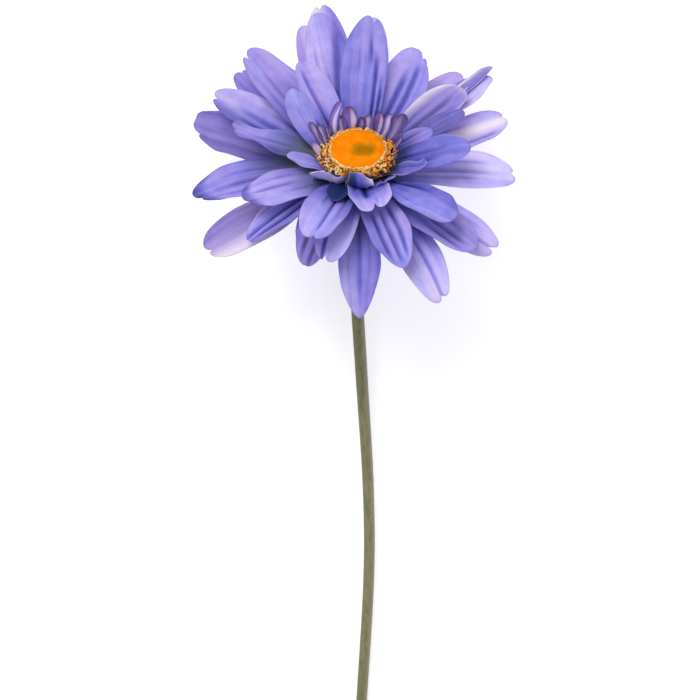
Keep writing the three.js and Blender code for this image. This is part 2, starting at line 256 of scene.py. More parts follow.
def grid_quads(rows: int, columns: int, round_across: bool = False) -> np.ndarray:
    """The quads of a grid of points, row after row.

    Args:
        rows: steps along.
        columns: steps across.
        round_across: whether the last column joins the first, so that there is no end column.

    Returns:
        Four point numbers for each quad, turned so that along x across points out.
    """
    wide = columns if round_across else columns + 1
    i, j = np.meshgrid(np.arange(rows), np.arange(columns), indexing="ij")
    beside = (j + 1) % wide
    return np.stack(
        [i * wide + j, (i + 1) * wide + j, (i + 1) * wide + beside, i * wide + beside], axis=-1
    ).reshape(-1, 4)


def capped_shell(points: np.ndarray, sides: int, uv: np.ndarray) -> Shell:
    """A skin of rings of points, closed at each end by a fan of triangles.

    Args:
        points: the rings, one after the other, then the middle of the first and of the last ring.
        sides: points in each ring.
        uv: one place for each point.

    Returns:
        The shell.
    """
    size = len(points) - 2
    j = np.arange(sides)
    beside = (j + 1) % sides
    last = size - sides
    foot = np.stack([np.full(sides, size), beside, j], axis=-1)
    top = np.stack([np.full(sides, size + 1), last + j, last + beside], axis=-1)
    quads = grid_quads(size // sides - 1, sides, round_across=True)[:, ::-1]
    return Shell(points, quads, uv, {}, np.concatenate([foot, top]))


def turned_shell(radii: Sequence[float], heights: Sequence[float], segments: int) -> Shell:
    """A closed solid of revolution about the bloom's axis, from its foot to its top.

    Each ring is radius times (cos, sin) of the angle, at its height; the first and last rings close
    on the axis.

    Args:
        radii: the profile's radii, without its ends on the axis.
        heights: the profile's heights.
        segments: steps round the axis.

    Returns:
        The shell, in the bloom's frame, with x and y over UV_SPAN as its uv.
    """
    angle = np.arange(segments) * 2 * math.pi / segments
    radius, height = np.array(radii)[:, None], np.array(heights)[:, None]
    ring = np.stack(
        [radius * np.cos(angle), radius * np.sin(angle), height + 0 * angle], axis=-1
    ).reshape(-1, 3)
    ends = np.array(((0, 0, heights[0]), (0, 0, heights[-1])))
    points = np.concatenate([ring, ends])
    return capped_shell(points, segments, 0.5 + points[:, :2] / UV_SPAN)


def washer(radius: float, bottom: float, top: float, bevel: float) -> Shell:
    """A thin disc about the bloom's axis, which holds the roots of the florets or the curls.

    Args:
        radius: its radius.
        bottom: the height of its lower face.
        top: the height of its upper face.
        bevel: how far both faces are set back from the rim.

    Returns:
        The shell, in the row frame.
    """
    radii = [radius - bevel, radius, radius, radius - bevel]
    return turned_shell(radii, [bottom, bottom + 0.2, top - 0.2, top], 64).in_row()


def tube_shell(places: np.ndarray, radii: np.ndarray, sides: int) -> Shell:
    """A round tube along a path, with a cap at each end.

    A ring of points stands square to the path at each place. Its first direction is carried along
    the path, less its share along the path, so that the tube doesn't twist.

    Args:
        places: the path's places.
        radii: the radius at each place.
        sides: points round each ring.

    Returns:
        The shell, with the angle and the share of the length as its uv.
    """
    ahead = np.gradient(places, axis=0)
    ahead /= np.linalg.norm(ahead, axis=1, keepdims=True)
    sideways = np.empty_like(ahead)
    carried = np.array((1.0, 0.0, 0.0)) if abs(ahead[0, 0]) < 0.9 else np.array((0.0, 1.0, 0.0))
    for i, way in enumerate(ahead):
        carried = carried - way * (carried @ way)
        carried = carried / np.linalg.norm(carried)
        sideways[i] = carried
    upward = np.cross(ahead, sideways)
    angle = np.arange(sides) * 2 * math.pi / sides
    ring = (
        places[:, None]
        + radii[:, None, None] * np.cos(angle)[:, None] * sideways[:, None]
        + radii[:, None, None] * np.sin(angle)[:, None] * upward[:, None]
    ).reshape(-1, 3)
    points = np.concatenate([ring, places[:1], places[-1:]])
    share = np.repeat(np.linspace(0, 1, len(places)), sides)
    around = np.tile(angle / (2 * math.pi), len(places))
    uv = np.concatenate([np.stack([around, share], axis=-1), [[0, 0], [0, 1]]])
    return capped_shell(points, sides, uv)


@dataclass(frozen=True)
class Down:
    """Short hairs on a skin: how many, their middle length, the radius of their foot, and a seed."""

    count: int
    length: float
    thick: float
    seed: int
    lean: float = 0.45

    def shell(self, skin: Shell) -> Shell:
        """Each hair as a closed three-sided spike.

        A hair starts at a random place of a random quad. Its way is the quad's normal, the cross
        product of the diagonals, plus a random lean.

        Args:
            skin: the shell that the hairs stand on.

        Returns:
            The hairs as one shell.
        """
        random = np.random.default_rng(self.seed)
        chosen = skin.quads[random.integers(0, len(skin.quads), self.count)]
        a, b, c, d = skin.points[chosen].swapaxes(0, 1)
        u, v = random.uniform(0, 1, (2, self.count, 1))
        foot = (1 - u) * ((1 - v) * a + v * d) + u * ((1 - v) * b + v * c)
        normal = np.cross(c - a, d - b)
        normal /= np.linalg.norm(normal, axis=1, keepdims=True)
        way = normal + self.lean * random.normal(size=(self.count, 3))
        way /= np.linalg.norm(way, axis=1, keepdims=True)
        aside = np.cross(way, random.normal(size=(self.count, 3)))
        aside /= np.linalg.norm(aside, axis=1, keepdims=True)
        beside = np.cross(way, aside)
        reach = self.length * random.uniform(0.5, 1.4, (self.count, 1))
        angles = np.arange(3) * 2 * math.pi / 3
        feet = [foot + self.thick * (math.cos(x) * aside + math.sin(x) * beside) for x in angles]
        points = np.stack([*feet, foot + reach * way], axis=1).reshape(-1, 3)
        spike = np.array(((0, 1, 3), (1, 2, 3), (2, 0, 3), (0, 2, 1)))
        faces = (4 * np.arange(self.count)[:, None, None] + spike).reshape(-1, 3)
        uv = np.tile(((0.0, 0.0), (0.5, 0.0), (1.0, 0.0), (0.5, 1.0)), (self.count, 1))
        return Shell(points, np.zeros((0, 4), int), uv, {}, faces)


# The share of the half width at which a tip's arc meets the blade's sides
TIP_CORNER = 0.72
# How fast the rim mark fades from the edge, in millimetres
RIM_FADE = 0.5
# How wide each side of a notch is, as a share of the half width
NOTCH_WIDTH = 0.15
# Short steps that a blade's middle line is summed from
PATH_STEPS = 144


@dataclass(frozen=True)
class Crease:
    """A narrow valley that runs along a blade; places across go from -1 to 1."""

    place: float
    start: float = 0.15
    stop: float = 0.9
    depth: float = 0.6
    width: float = 0.075
    slant: float = 0.0

    def share(self, s: np.ndarray, t: np.ndarray) -> np.ndarray:
        """How deep grid places lie in the valley: a bell across its line that fades at its ends.

        Args:
            s: grid places along.
            t: grid places across.

        Returns:
            The depth as a share, 1 on the line and 0 far from it.
        """
        middle = self.place + self.slant * (s - self.start)
        ends = smooth(s, self.start, self.start + 0.2) * smooth(s, self.stop, self.stop - 0.2)
        return np.exp(-(((t - middle) / self.width) ** 2)) * ends


@dataclass(frozen=True)
class Blade:
    """A thin strap that grows from a ring in the bloom: a petal, floret, bract or curl.

    It leaves its root in the direction turn and rise, and bends by curl, hook and sway as it goes.
    Its sides swell from the base, its tip is a rounded arc cut by notches into lobes, and its face
    is cupped or folded across, creased along, with a raised lip, a wave or ruffled edges.
    """

    turn: float
    length: float
    width: float
    rise: float
    curl: float = 0.0
    root_radius: float = 7.5
    root_height: float = 0.0
    sway: float = 0.0
    roll: float = 0.0
    hook: float = 0.0
    widest: float = 0.62
    tip_along: float = 2.0
    tip_across: float = 2.2
    base: float = 0.4
    ease: float = 0.95
    cup: float = 0.12
    fold: float = 0.0
    lip: float = 0.0
    wave: float = 0.0
    waves: float = 1.5
    twist: float = 0.0
    slant: float = 0.0
    wobble: float = 0.0
    ruffle: float = 0.0
    notches: tuple[tuple[float, float], ...] = ()
    creases: tuple[Crease, ...] = ()
    seed: int = 0

    def heading(self, s: np.ndarray) -> tuple[np.ndarray, np.ndarray]:
        """The direction along at a share of the length, as turn and climb in radians."""
        climb = self.rise + self.curl * s + self.hook * clamp((s - 0.55) / 0.45) ** 2
        return np.radians(self.turn + self.sway * s), np.radians(climb)

    def ways(self, s: np.ndarray) -> np.ndarray:
        """The unit vector along the blade at shares of its length."""
        turn, climb = self.heading(s)
        return np.stack(
            [np.cos(climb) * np.cos(turn), np.cos(climb) * np.sin(turn), np.sin(climb)], axis=-1
        )

    def frames(self, along: np.ndarray) -> tuple[np.ndarray, np.ndarray, np.ndarray]:
        """Place, way across and way up of the middle line at shares of the length.

        The place is the root plus the sum of short steps along. The way across is level and square
        to the heading, then rolled about the blade; up is square to both.

        Args:
            along: shares of the length, in any shape.

        Returns:
            Three arrays of that shape with x, y and z.
        """
        steps = np.linspace(0, 1, PATH_STEPS + 1)
        middles = (steps[1:] + steps[:-1]) / 2
        walked = np.cumsum(self.ways(middles), axis=0) * self.length / PATH_STEPS
        turn = math.radians(self.turn)
        root = np.array(
            (self.root_radius * math.cos(turn), self.root_radius * math.sin(turn), self.root_height)
        )
        places = root + np.concatenate([np.zeros((1, 3)), walked])
        place = np.stack(
            [np.interp(along, steps, places[:, axis]) for axis in range(3)], axis=-1
        )
        heading, _ = self.heading(along)
        level = np.stack([-np.sin(heading), np.cos(heading), 0 * heading], axis=-1)
        above = np.cross(self.ways(along), level)
        lean = np.radians(self.roll * clamp(along / 0.3) + self.twist * along)[..., None]
        across = level * np.cos(lean) + above * np.sin(lean)
        return place, across, above * np.cos(lean) - level * np.sin(lean)

    def tip_arc(self, x: Any) -> Any:
        """How far along the rounded tip reaches at a share x of the half width."""
        power = 1 / self.tip_along
        return self.widest + (1 - self.widest) * (1 - x**self.tip_across) ** power

    def outline(self, s: np.ndarray, t: np.ndarray) -> tuple[np.ndarray, np.ndarray]:
        """Where grid places lie along the blade, and the half width there.

        The half width swells as a sine to the power ease up to the widest place. Past it, it falls
        as a rounded arc, along which the last rows are bent. The slant makes one side longer than the
        other, and each notch draws the rows back by an exponential on both its sides, which rounds the
        lobes.

        Args:
            s: grid places along, from 0 at the root to 1 at the tip.
            t: grid places across, from -1 to 1.

        Returns:
            The share of the length, and the share of the half width.
        """
        to_tip = clamp((s - 0.5) / 0.5) ** 2
        side = s - (1 - self.tip_arc(TIP_CORNER)) * to_tip
        past = clamp((side - self.widest) / (1 - self.widest))
        growth = np.sin(math.pi / 2 * clamp(side / self.widest)) ** self.ease
        swell = self.base + (1 - self.base) * growth
        half = np.where(
            side < self.widest, swell, (1 - past**self.tip_along) ** (1 / self.tip_across)
        )
        edges = ripple(self.seed + 60, 8 * s, 1.5 * np.sign(t))
        half = half * (1 + self.wobble * edges * smooth(s, 0.2, 0.6))
        along = s - (1 - self.tip_arc(np.abs(TIP_CORNER * t)) - self.slant * t) * to_tip
        for place, depth in self.notches:
            cut = np.exp(-((np.abs(t - place) / NOTCH_WIDTH) ** 0.9))
            along = along - depth / self.length * cut * to_tip
        return along, half

    def face(self, s: np.ndarray, t: np.ndarray, offset: Any = 0.0) -> np.ndarray:
        """Places of the blade's face for grid places.

        The height over the middle line is cup t squared plus fold |t| plus the lip, times the half
        width, less the creases, plus a wave and a ruffle that grow towards the edges.

        Args:
            s: grid places along.
            t: grid places across.
            offset: how far above the face, in millimetres.

        Returns:
            The places, in the bloom's frame.
        """
        along, half = self.outline(s, t)
        place, across, up = self.frames(along)
        reach = half * self.width / 2
        grow = clamp(s / 0.35) ** 0.7
        lip_share = clamp((np.sign(self.lip) * t - 0.35) / 0.65) ** 2
        bend = self.cup * t**2 + self.fold * np.abs(t) + abs(self.lip) * lip_share
        height = bend * reach * grow
        for crease in self.creases:
            height = height - crease.depth * crease.share(s, t)
        height = height + self.wave * t * np.sin(2 * math.pi * self.waves * s) * grow
        swell = ripple(self.seed + 80, 9 * s, 2.5 * t)
        height = height + self.ruffle * swell * (0.25 + 0.75 * np.abs(t) ** 3) * grow
        narrowed = 1 - 0.12 * abs(self.cup + self.fold) - 0.25 * abs(self.lip) * lip_share * grow
        sideways = reach * t * narrowed
        raised = (height + offset)[..., None]
        return place + across * sideways[..., None] + up * raised

    def shell(self, rows: int, columns: int, thickness: float) -> Shell:
        """The closed blade: two faces that thin towards the edges, joined round their edge.

        Columns stand closer together near the edges, and one stands in each notch. Marks: under is
        1 on the lower face, rim goes to 1 at the edge as exp of minus the distance over RIM_FADE,
        and groove is 1 in a deep crease.

        Args:
            rows: steps along.
            columns: steps across.
            thickness: the thickness in the middle, in millimetres.

        Returns:
            The shell, in the row frame.
        """
        x = np.linspace(-1, 1, columns + 1)
        x = 0.6 * x + 0.4 * np.sin(math.pi / 2 * x)
        for place, _ in self.notches:
            x[np.argmin(np.abs(x - place))] = place
        s, t = np.meshgrid(np.linspace(0, 1, rows + 1), x, indexing="ij")
        half = thickness / 2 * (1 - 0.75 * t**6) * (1 - 0.7 * s**10)
        faces = [self.face(s, t, side * half).reshape(-1, 3) for side in (1, -1)]
        size = len(faces[0])
        quads = grid_quads(rows, columns)
        wide = columns + 1
        edge = np.concatenate(
            [
                np.arange(rows) * wide,
                rows * wide + np.arange(columns),
                np.arange(rows, 0, -1) * wide + columns,
                np.arange(columns, 0, -1),
            ]
        )
        ahead = np.roll(edge, -1)
        band = np.stack([edge, edge + size, ahead + size, ahead], axis=-1)
        _, width = self.outline(s, t)
        beside = width * self.width / 2 * (1 - np.abs(t))
        before = (1 - s) * self.length * 0.6
        rim = np.exp(-np.minimum(beside, before) / RIM_FADE).ravel()
        groove = sum((clamp(c.depth) * c.share(s, t) for c in self.creases), 0 * s).ravel()
        uv = np.stack([(t.ravel() + 1) / 2, s.ravel()], axis=-1)
        skin = np.concatenate([quads, quads[:, ::-1] + size, band])
        shell = Shell(np.concatenate(faces), skin, np.concatenate([uv, uv])).in_row()
        return shell.mark(
            rim=np.concatenate([rim, rim]),
            groove=np.concatenate([groove, groove]),
            under=np.repeat([0.0, 1.0], size),
        )


# Shader expressions


class Signal:
    """A shader socket that is used in Python expressions: each operator adds a Math node."""

    def __init__(self, shader: "Shader", socket: bpy.types.NodeSocket) -> None:
        """Wraps an output socket of a shader's node."""
        self.shader = shader
        self.socket = socket

    def __add__(self, other: Number) -> "Signal":
        """self + other"""
        return self.shader.math("ADD", self, other)

    def __radd__(self, other: Number) -> "Signal":
        """other + self"""
        return self.shader.math("ADD", other, self)

    def __sub__(self, other: Number) -> "Signal":
        """self - other"""
        return self.shader.math("SUBTRACT", self, other)

    def __rsub__(self, other: Number) -> "Signal":
        """other - self"""
        return self.shader.math("SUBTRACT", other, self)

    def __mul__(self, other: Number) -> "Signal":
        """self * other"""
        return self.shader.math("MULTIPLY", self, other)

    def __rmul__(self, other: Number) -> "Signal":
        """other * self"""
        return self.shader.math("MULTIPLY", other, self)

    def __truediv__(self, other: Number) -> "Signal":
        """self / other"""
        return self.shader.math("DIVIDE", self, other)

    def __pow__(self, other: Number) -> "Signal":
        """self ** other"""
        return self.shader.math("POWER", self, other)

    def __abs__(self) -> "Signal":
        """abs(self)"""
        return self.shader.math("ABSOLUTE", self)

    def held(self) -> "Signal":
        """The value held between 0 and 1."""
        return self.shader.value("ShaderNodeClamp", inputs={0: self})

    def step(self, low: float, high: float) -> "Signal":
        """A smooth step.

        Args:
            low: where it is 0.
            high: where it is 1; it may be the smaller, which turns the step round.

        Returns:
            The step's value.
        """
        settings = {"interpolation_type": "SMOOTHSTEP"}
        inputs = {0: self, 1: low, 2: high, 3: 0.0, 4: 1.0}
        if low > high:
            inputs.update({1: high, 2: low, 3: 1.0, 4: 0.0})
        return self.shader.value("ShaderNodeMapRange", settings, inputs)


class Shader:
    """One material in the making, with the methods that add its nodes."""

    def __init__(self, name: str) -> None:
        """Starts a material with no nodes.

        Args:
            name: the material's name.
        """
        self.material = bpy.data.materials.new(name)
        self.material.use_nodes = True
        self.tree = self.material.node_tree
        self.tree.nodes.clear()

    def node(
        self,
        kind: str,
        settings: Optional[dict[str, Any]] = None,
        inputs: Optional[dict[Any, Any]] = None,
    ) -> bpy.types.Node:
        """Adds a node, sets it up, and then fills or links its sockets.

        Args:
            kind: the node's type.
            settings: its properties; stops are a ramp's (position, colour) pairs.
            inputs: a value or a Signal for each socket, by name or number.

        Returns:
            The node.
        """
        node = self.tree.nodes.new(kind)
        for name, value in (settings or {}).items():
            if name == "stops":
                ramp = node.color_ramp
                while len(ramp.elements) < len(value):
                    ramp.elements.new(0.5)
                for element, (position, colour) in zip(ramp.elements, value):
                    element.position = position
                    element.color = (*colour, 1.0)
            else:
                setattr(node, name, value)
        for key, value in (inputs or {}).items():
            socket = node.inputs[key]
            if isinstance(value, Signal):
                self.tree.links.new(value.socket, socket)
            elif socket.type == "RGBA":
                socket.default_value = (*value, 1.0)
            else:
                socket.default_value = value
        return node

    def value(
        self,
        kind: str,
        settings: Optional[dict[str, Any]] = None,
        inputs: Optional[dict[Any, Any]] = None,
        output: Any = 0,
    ) -> Signal:
        """Adds a node and returns one of its outputs, the first unless another is named."""
        return Signal(self, self.node(kind, settings, inputs).outputs[output])

    def math(self, operation: str, *values: Number) -> Signal:
        """A Math node on numbers and signals."""
        return self.value("ShaderNodeMath", {"operation": operation}, dict(enumerate(values)))

    def mix(self, share: Number, first: Any, second: Any, blend: str = "MIX") -> Signal:
        """A blend of two colours: the first at share 0, the second at share 1."""
        settings = {"data_type": "RGBA", "blend_type": blend, "clamp_factor": True}
        return self.value("ShaderNodeMix", settings, {0: share, 6: first, 7: second}, 2)

    def ramp(self, position: Signal, stops: Sequence[tuple[float, Colour]]) -> Signal:
        """A row of colours along a value from 0 to 1."""
        return self.value("ShaderNodeValToRGB", {"stops": stops}, {0: position})

    def mark(self, name: str) -> Signal:
        """A mark that a mesh carries, as a value."""
        return self.value("ShaderNodeAttribute", {"attribute_name": name}, output="Fac")

    def blade(self) -> tuple[Signal, Signal]:
        """The place on a blade's face.

        Returns:
            The place across, from -1 to 1, and along, from 0 to 1.
        """
        uv = self.value("ShaderNodeUVMap", {"uv_map": "blade"})
        parts = self.node("ShaderNodeSeparateXYZ", inputs={0: uv})
        return Signal(self, parts.outputs[0]) * 2.0 - 1.0, Signal(self, parts.outputs[1])

    def millimetres(self) -> Signal:
        """The place on the part in millimetres."""
        place = self.value("ShaderNodeTexCoord", output="Object")
        return self.value("ShaderNodeVectorMath", {"operation": "SCALE"}, {0: place, 3: 1000.0})

    def vector(self, x: Number, y: Number, z: Number) -> Signal:
        """A vector from three numbers or signals."""
        return self.value("ShaderNodeCombineXYZ", inputs={0: x, 1: y, 2: z})

    def noise(self, at: Signal, scale: float, detail: float = 2.0) -> Signal:
        """Cloudy noise between 0 and 1."""
        inputs = {"Vector": at, "Scale": scale, "Detail": detail}
        return self.value("ShaderNodeTexNoise", None, inputs)

    def bump(self, height: Signal, depth: float, strength: float = 1.0) -> Signal:
        """A normal from a height between 0 and 1 that is depth millimetres deep."""
        inputs = {"Height": height, "Distance": depth * MM, "Strength": strength}
        return self.value("ShaderNodeBump", None, inputs)

    def finish(self, **inputs: Any) -> bpy.types.Material:
        """Closes the material with a Principled shader.

        Args:
            inputs: its sockets, with _ for each space in a name.

        Returns:
            The material.
        """
        named = {name.replace("_", " "): value for name, value in inputs.items()}
        shader = self.value("ShaderNodeBsdfPrincipled", None, named)
        self.node("ShaderNodeOutputMaterial", None, {"Surface": shader})
        return self.material


# Finishes


@dataclass(frozen=True)
class PetalFinish:
    """Satin petal: slate foot that is partly painted shade, deep blue creases in painted shade, periwinkle
    middle, lavender tip.
    """

    # The dark end of this row is painted shade: creases, shaded feet and the throat's hollow take it.
    stops: tuple[tuple[float, Colour], ...] = (
        (0.0, (0.008, 0.020, 0.12)),
        (0.16, (0.060, 0.064, 0.345)),
        (0.32, (0.136, 0.124, 0.51)),
        (0.50, (0.242, 0.208, 0.65)),
        (0.68, (0.390, 0.322, 0.775)),
        (0.84, (0.540, 0.452, 0.875)),
        (1.0, (0.680, 0.585, 0.93)),
    )
    green: Colour = (0.125, 0.150, 0.115)
    blush: Colour = (0.50, 0.36, 0.68)
    pale: Colour = (0.84, 0.745, 0.82)
    edge: Colour = (0.15, 0.11, 0.37)
    bluer: Colour = (0.87, 0.99, 1.04)
    back: Colour = (0.42, 0.36, 0.66)

    def material(self) -> bpy.types.Material:
        """Builds the material.

        The petal's tone mark is a place on a row of colours, and it carries painted shade in the creases,
        at the foot and along shaded sides; long streaks move it a little. Marks blend in a grey-green foot,
        a rosy cast, pale patches with painted highlights along some edges, a dark line along the edge and a
        duller underside, and slow noise makes parts of the petal bluer.

        Returns:
            The material.
        """
        shader = Shader("petal_satin")
        across, along = shader.blade()
        seed = shader.mark("seed")
        streak = shader.noise(shader.vector(across * 3.0, along * 0.8, seed * 17.0), 1.0, 3.0)
        vein = shader.noise(shader.vector(across * 14.0, along * 1.2, seed * 31.0), 1.0, 3.0)
        cloud = shader.noise(shader.millimetres(), 0.22, 2.0)
        place = shader.mark("tone") + (streak - 0.5) * 0.42 + (vein - 0.5) * 0.13
        place = place + (cloud - 0.5) * 0.3
        colour = shader.ramp(place.held(), self.stops)
        drift = shader.noise(shader.vector(across * 1.2, along * 2.4, seed * 43.0), 1.0, 1.0)
        colour = shader.mix(drift.step(0.4, 0.62), colour, self.bluer, "MULTIPLY")
        colour = shader.mix(shader.mark("blush") * (streak * 1.6).held(), colour, self.blush)
        colour = shader.mix(shader.mark("green") * (cloud * 1.7).held(), colour, self.green)
        colour = shader.mix(shader.mark("pale"), colour, self.pale)
        colour = shader.mix(shader.mark("rim") * 0.4 * along.step(0.2, 0.5), colour, self.edge)
        colour = shader.mix(shader.mark("under") * 0.3, colour, self.back)
        weave = shader.noise(shader.millimetres(), 4.0, 2.0)
        return shader.finish(
            Base_Color=colour,
            Roughness=0.66,
            Specular_IOR_Level=0.2,
            Normal=shader.bump(vein * 0.7 + weave * 0.3, 0.3, 0.5),
            Sheen_Weight=0.06,
            Sheen_Roughness=0.4,
            Subsurface_Weight=0.1,
            Subsurface_Radius=(1.0, 0.8, 1.0),
            Subsurface_Scale=0.0008,
        )


@dataclass(frozen=True)
class FloretFinish:
    """Violet strap florets with a painted lilac highlight and dark rims; their shade mark makes some
    darker.
    """

    foot: Colour = (0.13, 0.09, 0.18)
    dusk: Colour = (0.24, 0.16, 0.60)
    dark: Colour = (0.085, 0.048, 0.26)
    lilac: Colour = (0.74, 0.62, 0.95)
    edge: Colour = (0.050, 0.024, 0.15)

    def material(self) -> bpy.types.Material:
        """Builds the material: a painted lilac highlight beside the middle, violet flanks and a dark rim.

        Returns:
            The material.
        """
        shader = Shader("floret_dusk")
        across, along = shader.blade()
        seed, shade = shader.mark("seed"), shader.mark("shade")
        streak = shader.noise(shader.vector(across * 4.0, along * 1.4, seed * 23.0), 1.0, 3.0)
        # Painted highlight: a lilac band near the middle, moved aside by the seed so that one flank reads
        # lit.
        light = abs(across + (seed - 0.5) * 0.9 + (streak - 0.5) * 1.1)
        flank = shader.mix(shade, self.dusk, self.dark)
        colour = shader.mix(light.step(0.05, 0.55), self.lilac, flank)
        colour = shader.mix(shade * 0.75, colour, flank)
        colour = shader.mix(shade * -1.0, colour, self.lilac)
        colour = shader.mix((along + (streak - 0.5) * 0.4).step(0.72, 1.0) * 0.8, colour, flank)
        colour = shader.mix((shader.mark("rim") ** 1.7 * 1.2).held(), colour, self.edge)
        colour = shader.mix(along.step(0.3, 0.05), colour, self.foot)
        grain = shader.noise(shader.millimetres(), 5.0, 2.0)
        return shader.finish(
            Base_Color=colour,
            Roughness=0.6,
            Normal=shader.bump(streak * 0.6 + grain * 0.4, 0.25, 0.6),
            Sheen_Weight=0.15,
            Sheen_Roughness=0.4,
            Subsurface_Weight=0.1,
            Subsurface_Radius=(1.0, 0.7, 1.0),
            Subsurface_Scale=0.0006,
        )


@dataclass(frozen=True)
class CurlFinish:
    """Crinkled curls: cream, yellow, orange, brown or plum by their hue mark; the cream end is partly a
    painted highlight, and the brown and plum end is painted shade between the curls.
    """

    stops: tuple[tuple[float, Colour], ...] = (
        (0.0, (0.96, 0.76, 0.42)),
        (0.25, (0.93, 0.54, 0.13)),
        (0.55, (0.82, 0.29, 0.01)),
        (0.78, (0.26, 0.06, 0.03)),
        (1.0, (0.06, 0.02, 0.12)),
    )
    foot: Colour = (0.36, 0.11, 0.05)

    def material(self) -> bpy.types.Material:
        """Builds the material from a ramp over the hue mark, browner at the foot as painted shade.

        Returns:
            The material.
        """
        shader = Shader("curl_cream")
        _, along = shader.blade()
        grain = shader.noise(shader.millimetres(), 3.0, 3.0)
        hue = shader.mark("hue") + (grain - 0.5) * 0.25
        colour = shader.ramp(hue.held(), self.stops)
        # Painted shade: each strand is blended towards brown at its foot.
        colour = shader.mix(along.step(0.36, 0.0) * 0.75, colour, self.foot)
        return shader.finish(
            Base_Color=colour,
            Roughness=0.7,
            Specular_IOR_Level=0.2,
            Normal=shader.bump(grain, 0.2, 0.7),
            Subsurface_Weight=0.15,
            Subsurface_Radius=(1.0, 0.5, 0.2),
            Subsurface_Scale=0.0008,
        )


@dataclass(frozen=True)
class ButtonFinish:
    """Orange velvet with a soft olive patch and a paler rim."""

    orange: Colour = (0.90, 0.205, 0.0)
    amber: Colour = (0.92, 0.29, 0.004)
    rim: Colour = (0.95, 0.60, 0.20)
    olive: Colour = (0.34, 0.15, 0.002)

    def material(self) -> bpy.types.Material:
        """Builds the material: mottled orange, an oval patch right of the middle, a pale rim.

        Returns:
            The material.
        """
        shader = Shader("button_velvet")
        x, y = shader.blade()
        x, y = x * (UV_SPAN / 2), (y - 0.5) * UV_SPAN
        cloud = shader.noise(shader.millimetres(), 0.35, 2.0)
        plush = shader.noise(shader.millimetres(), 4.5, 3.0)
        colour = shader.mix(cloud.step(0.35, 0.75), self.orange, self.amber)
        colour = shader.mix((plush - 0.5) * 0.4 + 0.1, colour, self.amber)
        spot = ((x - 1.8) / 5.8) ** 2.0 + ((y + 1.5) / 4.2) ** 2.0
        spot = (spot + (cloud - 0.5) * 0.6 + (plush - 0.5) * 0.3).held()
        colour = shader.mix(spot.step(1.0, 0.0), colour, self.olive)
        radius = (x * x + y * y) ** 0.5
        colour = shader.mix((radius + plush * 0.9).step(9.6, 10.5) * 0.7, colour, self.rim)
        return shader.finish(
            Base_Color=colour,
            Roughness=1.0,
            Specular_IOR_Level=0.05,
            Normal=shader.bump(plush, 0.25, 0.7),
        )


@dataclass(frozen=True)
class GreenFinish:
    """Downy green or olive skin, streaked along, for the stalk, the bracts and the heart."""

    name: str
    main: Colour
    dark: Colour
    light: Colour
    side: Colour
    edge: Colour
    grain: tuple[float, float, float] = (1.0, 0.22, 1.0)

    def material(self) -> bpy.types.Material:
        """Builds the material.

        Clouds of the dark colour lie on the main one, with light flecks as of down. The tint mark
        blends in the side colour and the rim mark the edge colour, both unevenly; on the stalk, the rim
        mark is painted shade down one side.

        Returns:
            The material.
        """
        shader = Shader(self.name)
        place = shader.millimetres()
        inputs = {0: place, 1: self.grain}
        stretched = shader.value("ShaderNodeVectorMath", {"operation": "MULTIPLY"}, inputs)
        cloud = shader.noise(stretched, 0.9, 3.0)
        fleck = shader.noise(place, 3.6, 3.0)
        patch = shader.noise(stretched, 0.28, 1.0)
        uneven = (0.55 + fleck * 0.6).held()
        colour = shader.mix(cloud.step(0.42, 0.62), self.main, self.dark)
        colour = shader.mix(patch.step(0.42, 0.6) * 0.5, colour, self.dark)
        colour = shader.mix(shader.mark("tint") * uneven, colour, self.side)
        colour = shader.mix(shader.mark("rim") * uneven, colour, self.edge)
        colour = shader.mix(fleck.step(0.55, 0.72) * 0.6, colour, self.light)
        return shader.finish(
            Base_Color=colour,
            Roughness=0.85,
            Normal=shader.bump(fleck * 0.7 + cloud * 0.3, 0.3, 0.8),
            Sheen_Weight=0.45,
            Sheen_Roughness=0.5,
        )


@dataclass(frozen=True)
class DownFinish:
    """Fine pale hairs."""

    name: str
    colour: Colour

    def material(self) -> bpy.types.Material:
        """Builds the material: the hair's colour, a little darker where noise says so.

        Returns:
            The material.
        """
        shader = Shader(self.name)
        cloud = shader.noise(shader.millimetres(), 0.8, 2.0)
        dark = tuple(0.6 * value for value in self.colour)
        colour = shader.mix(cloud.step(0.35, 0.7) * 0.7, self.colour, dark)
        return shader.finish(Base_Color=colour, Roughness=0.7, Sheen_Weight=0.3)


# Sub-assemblies


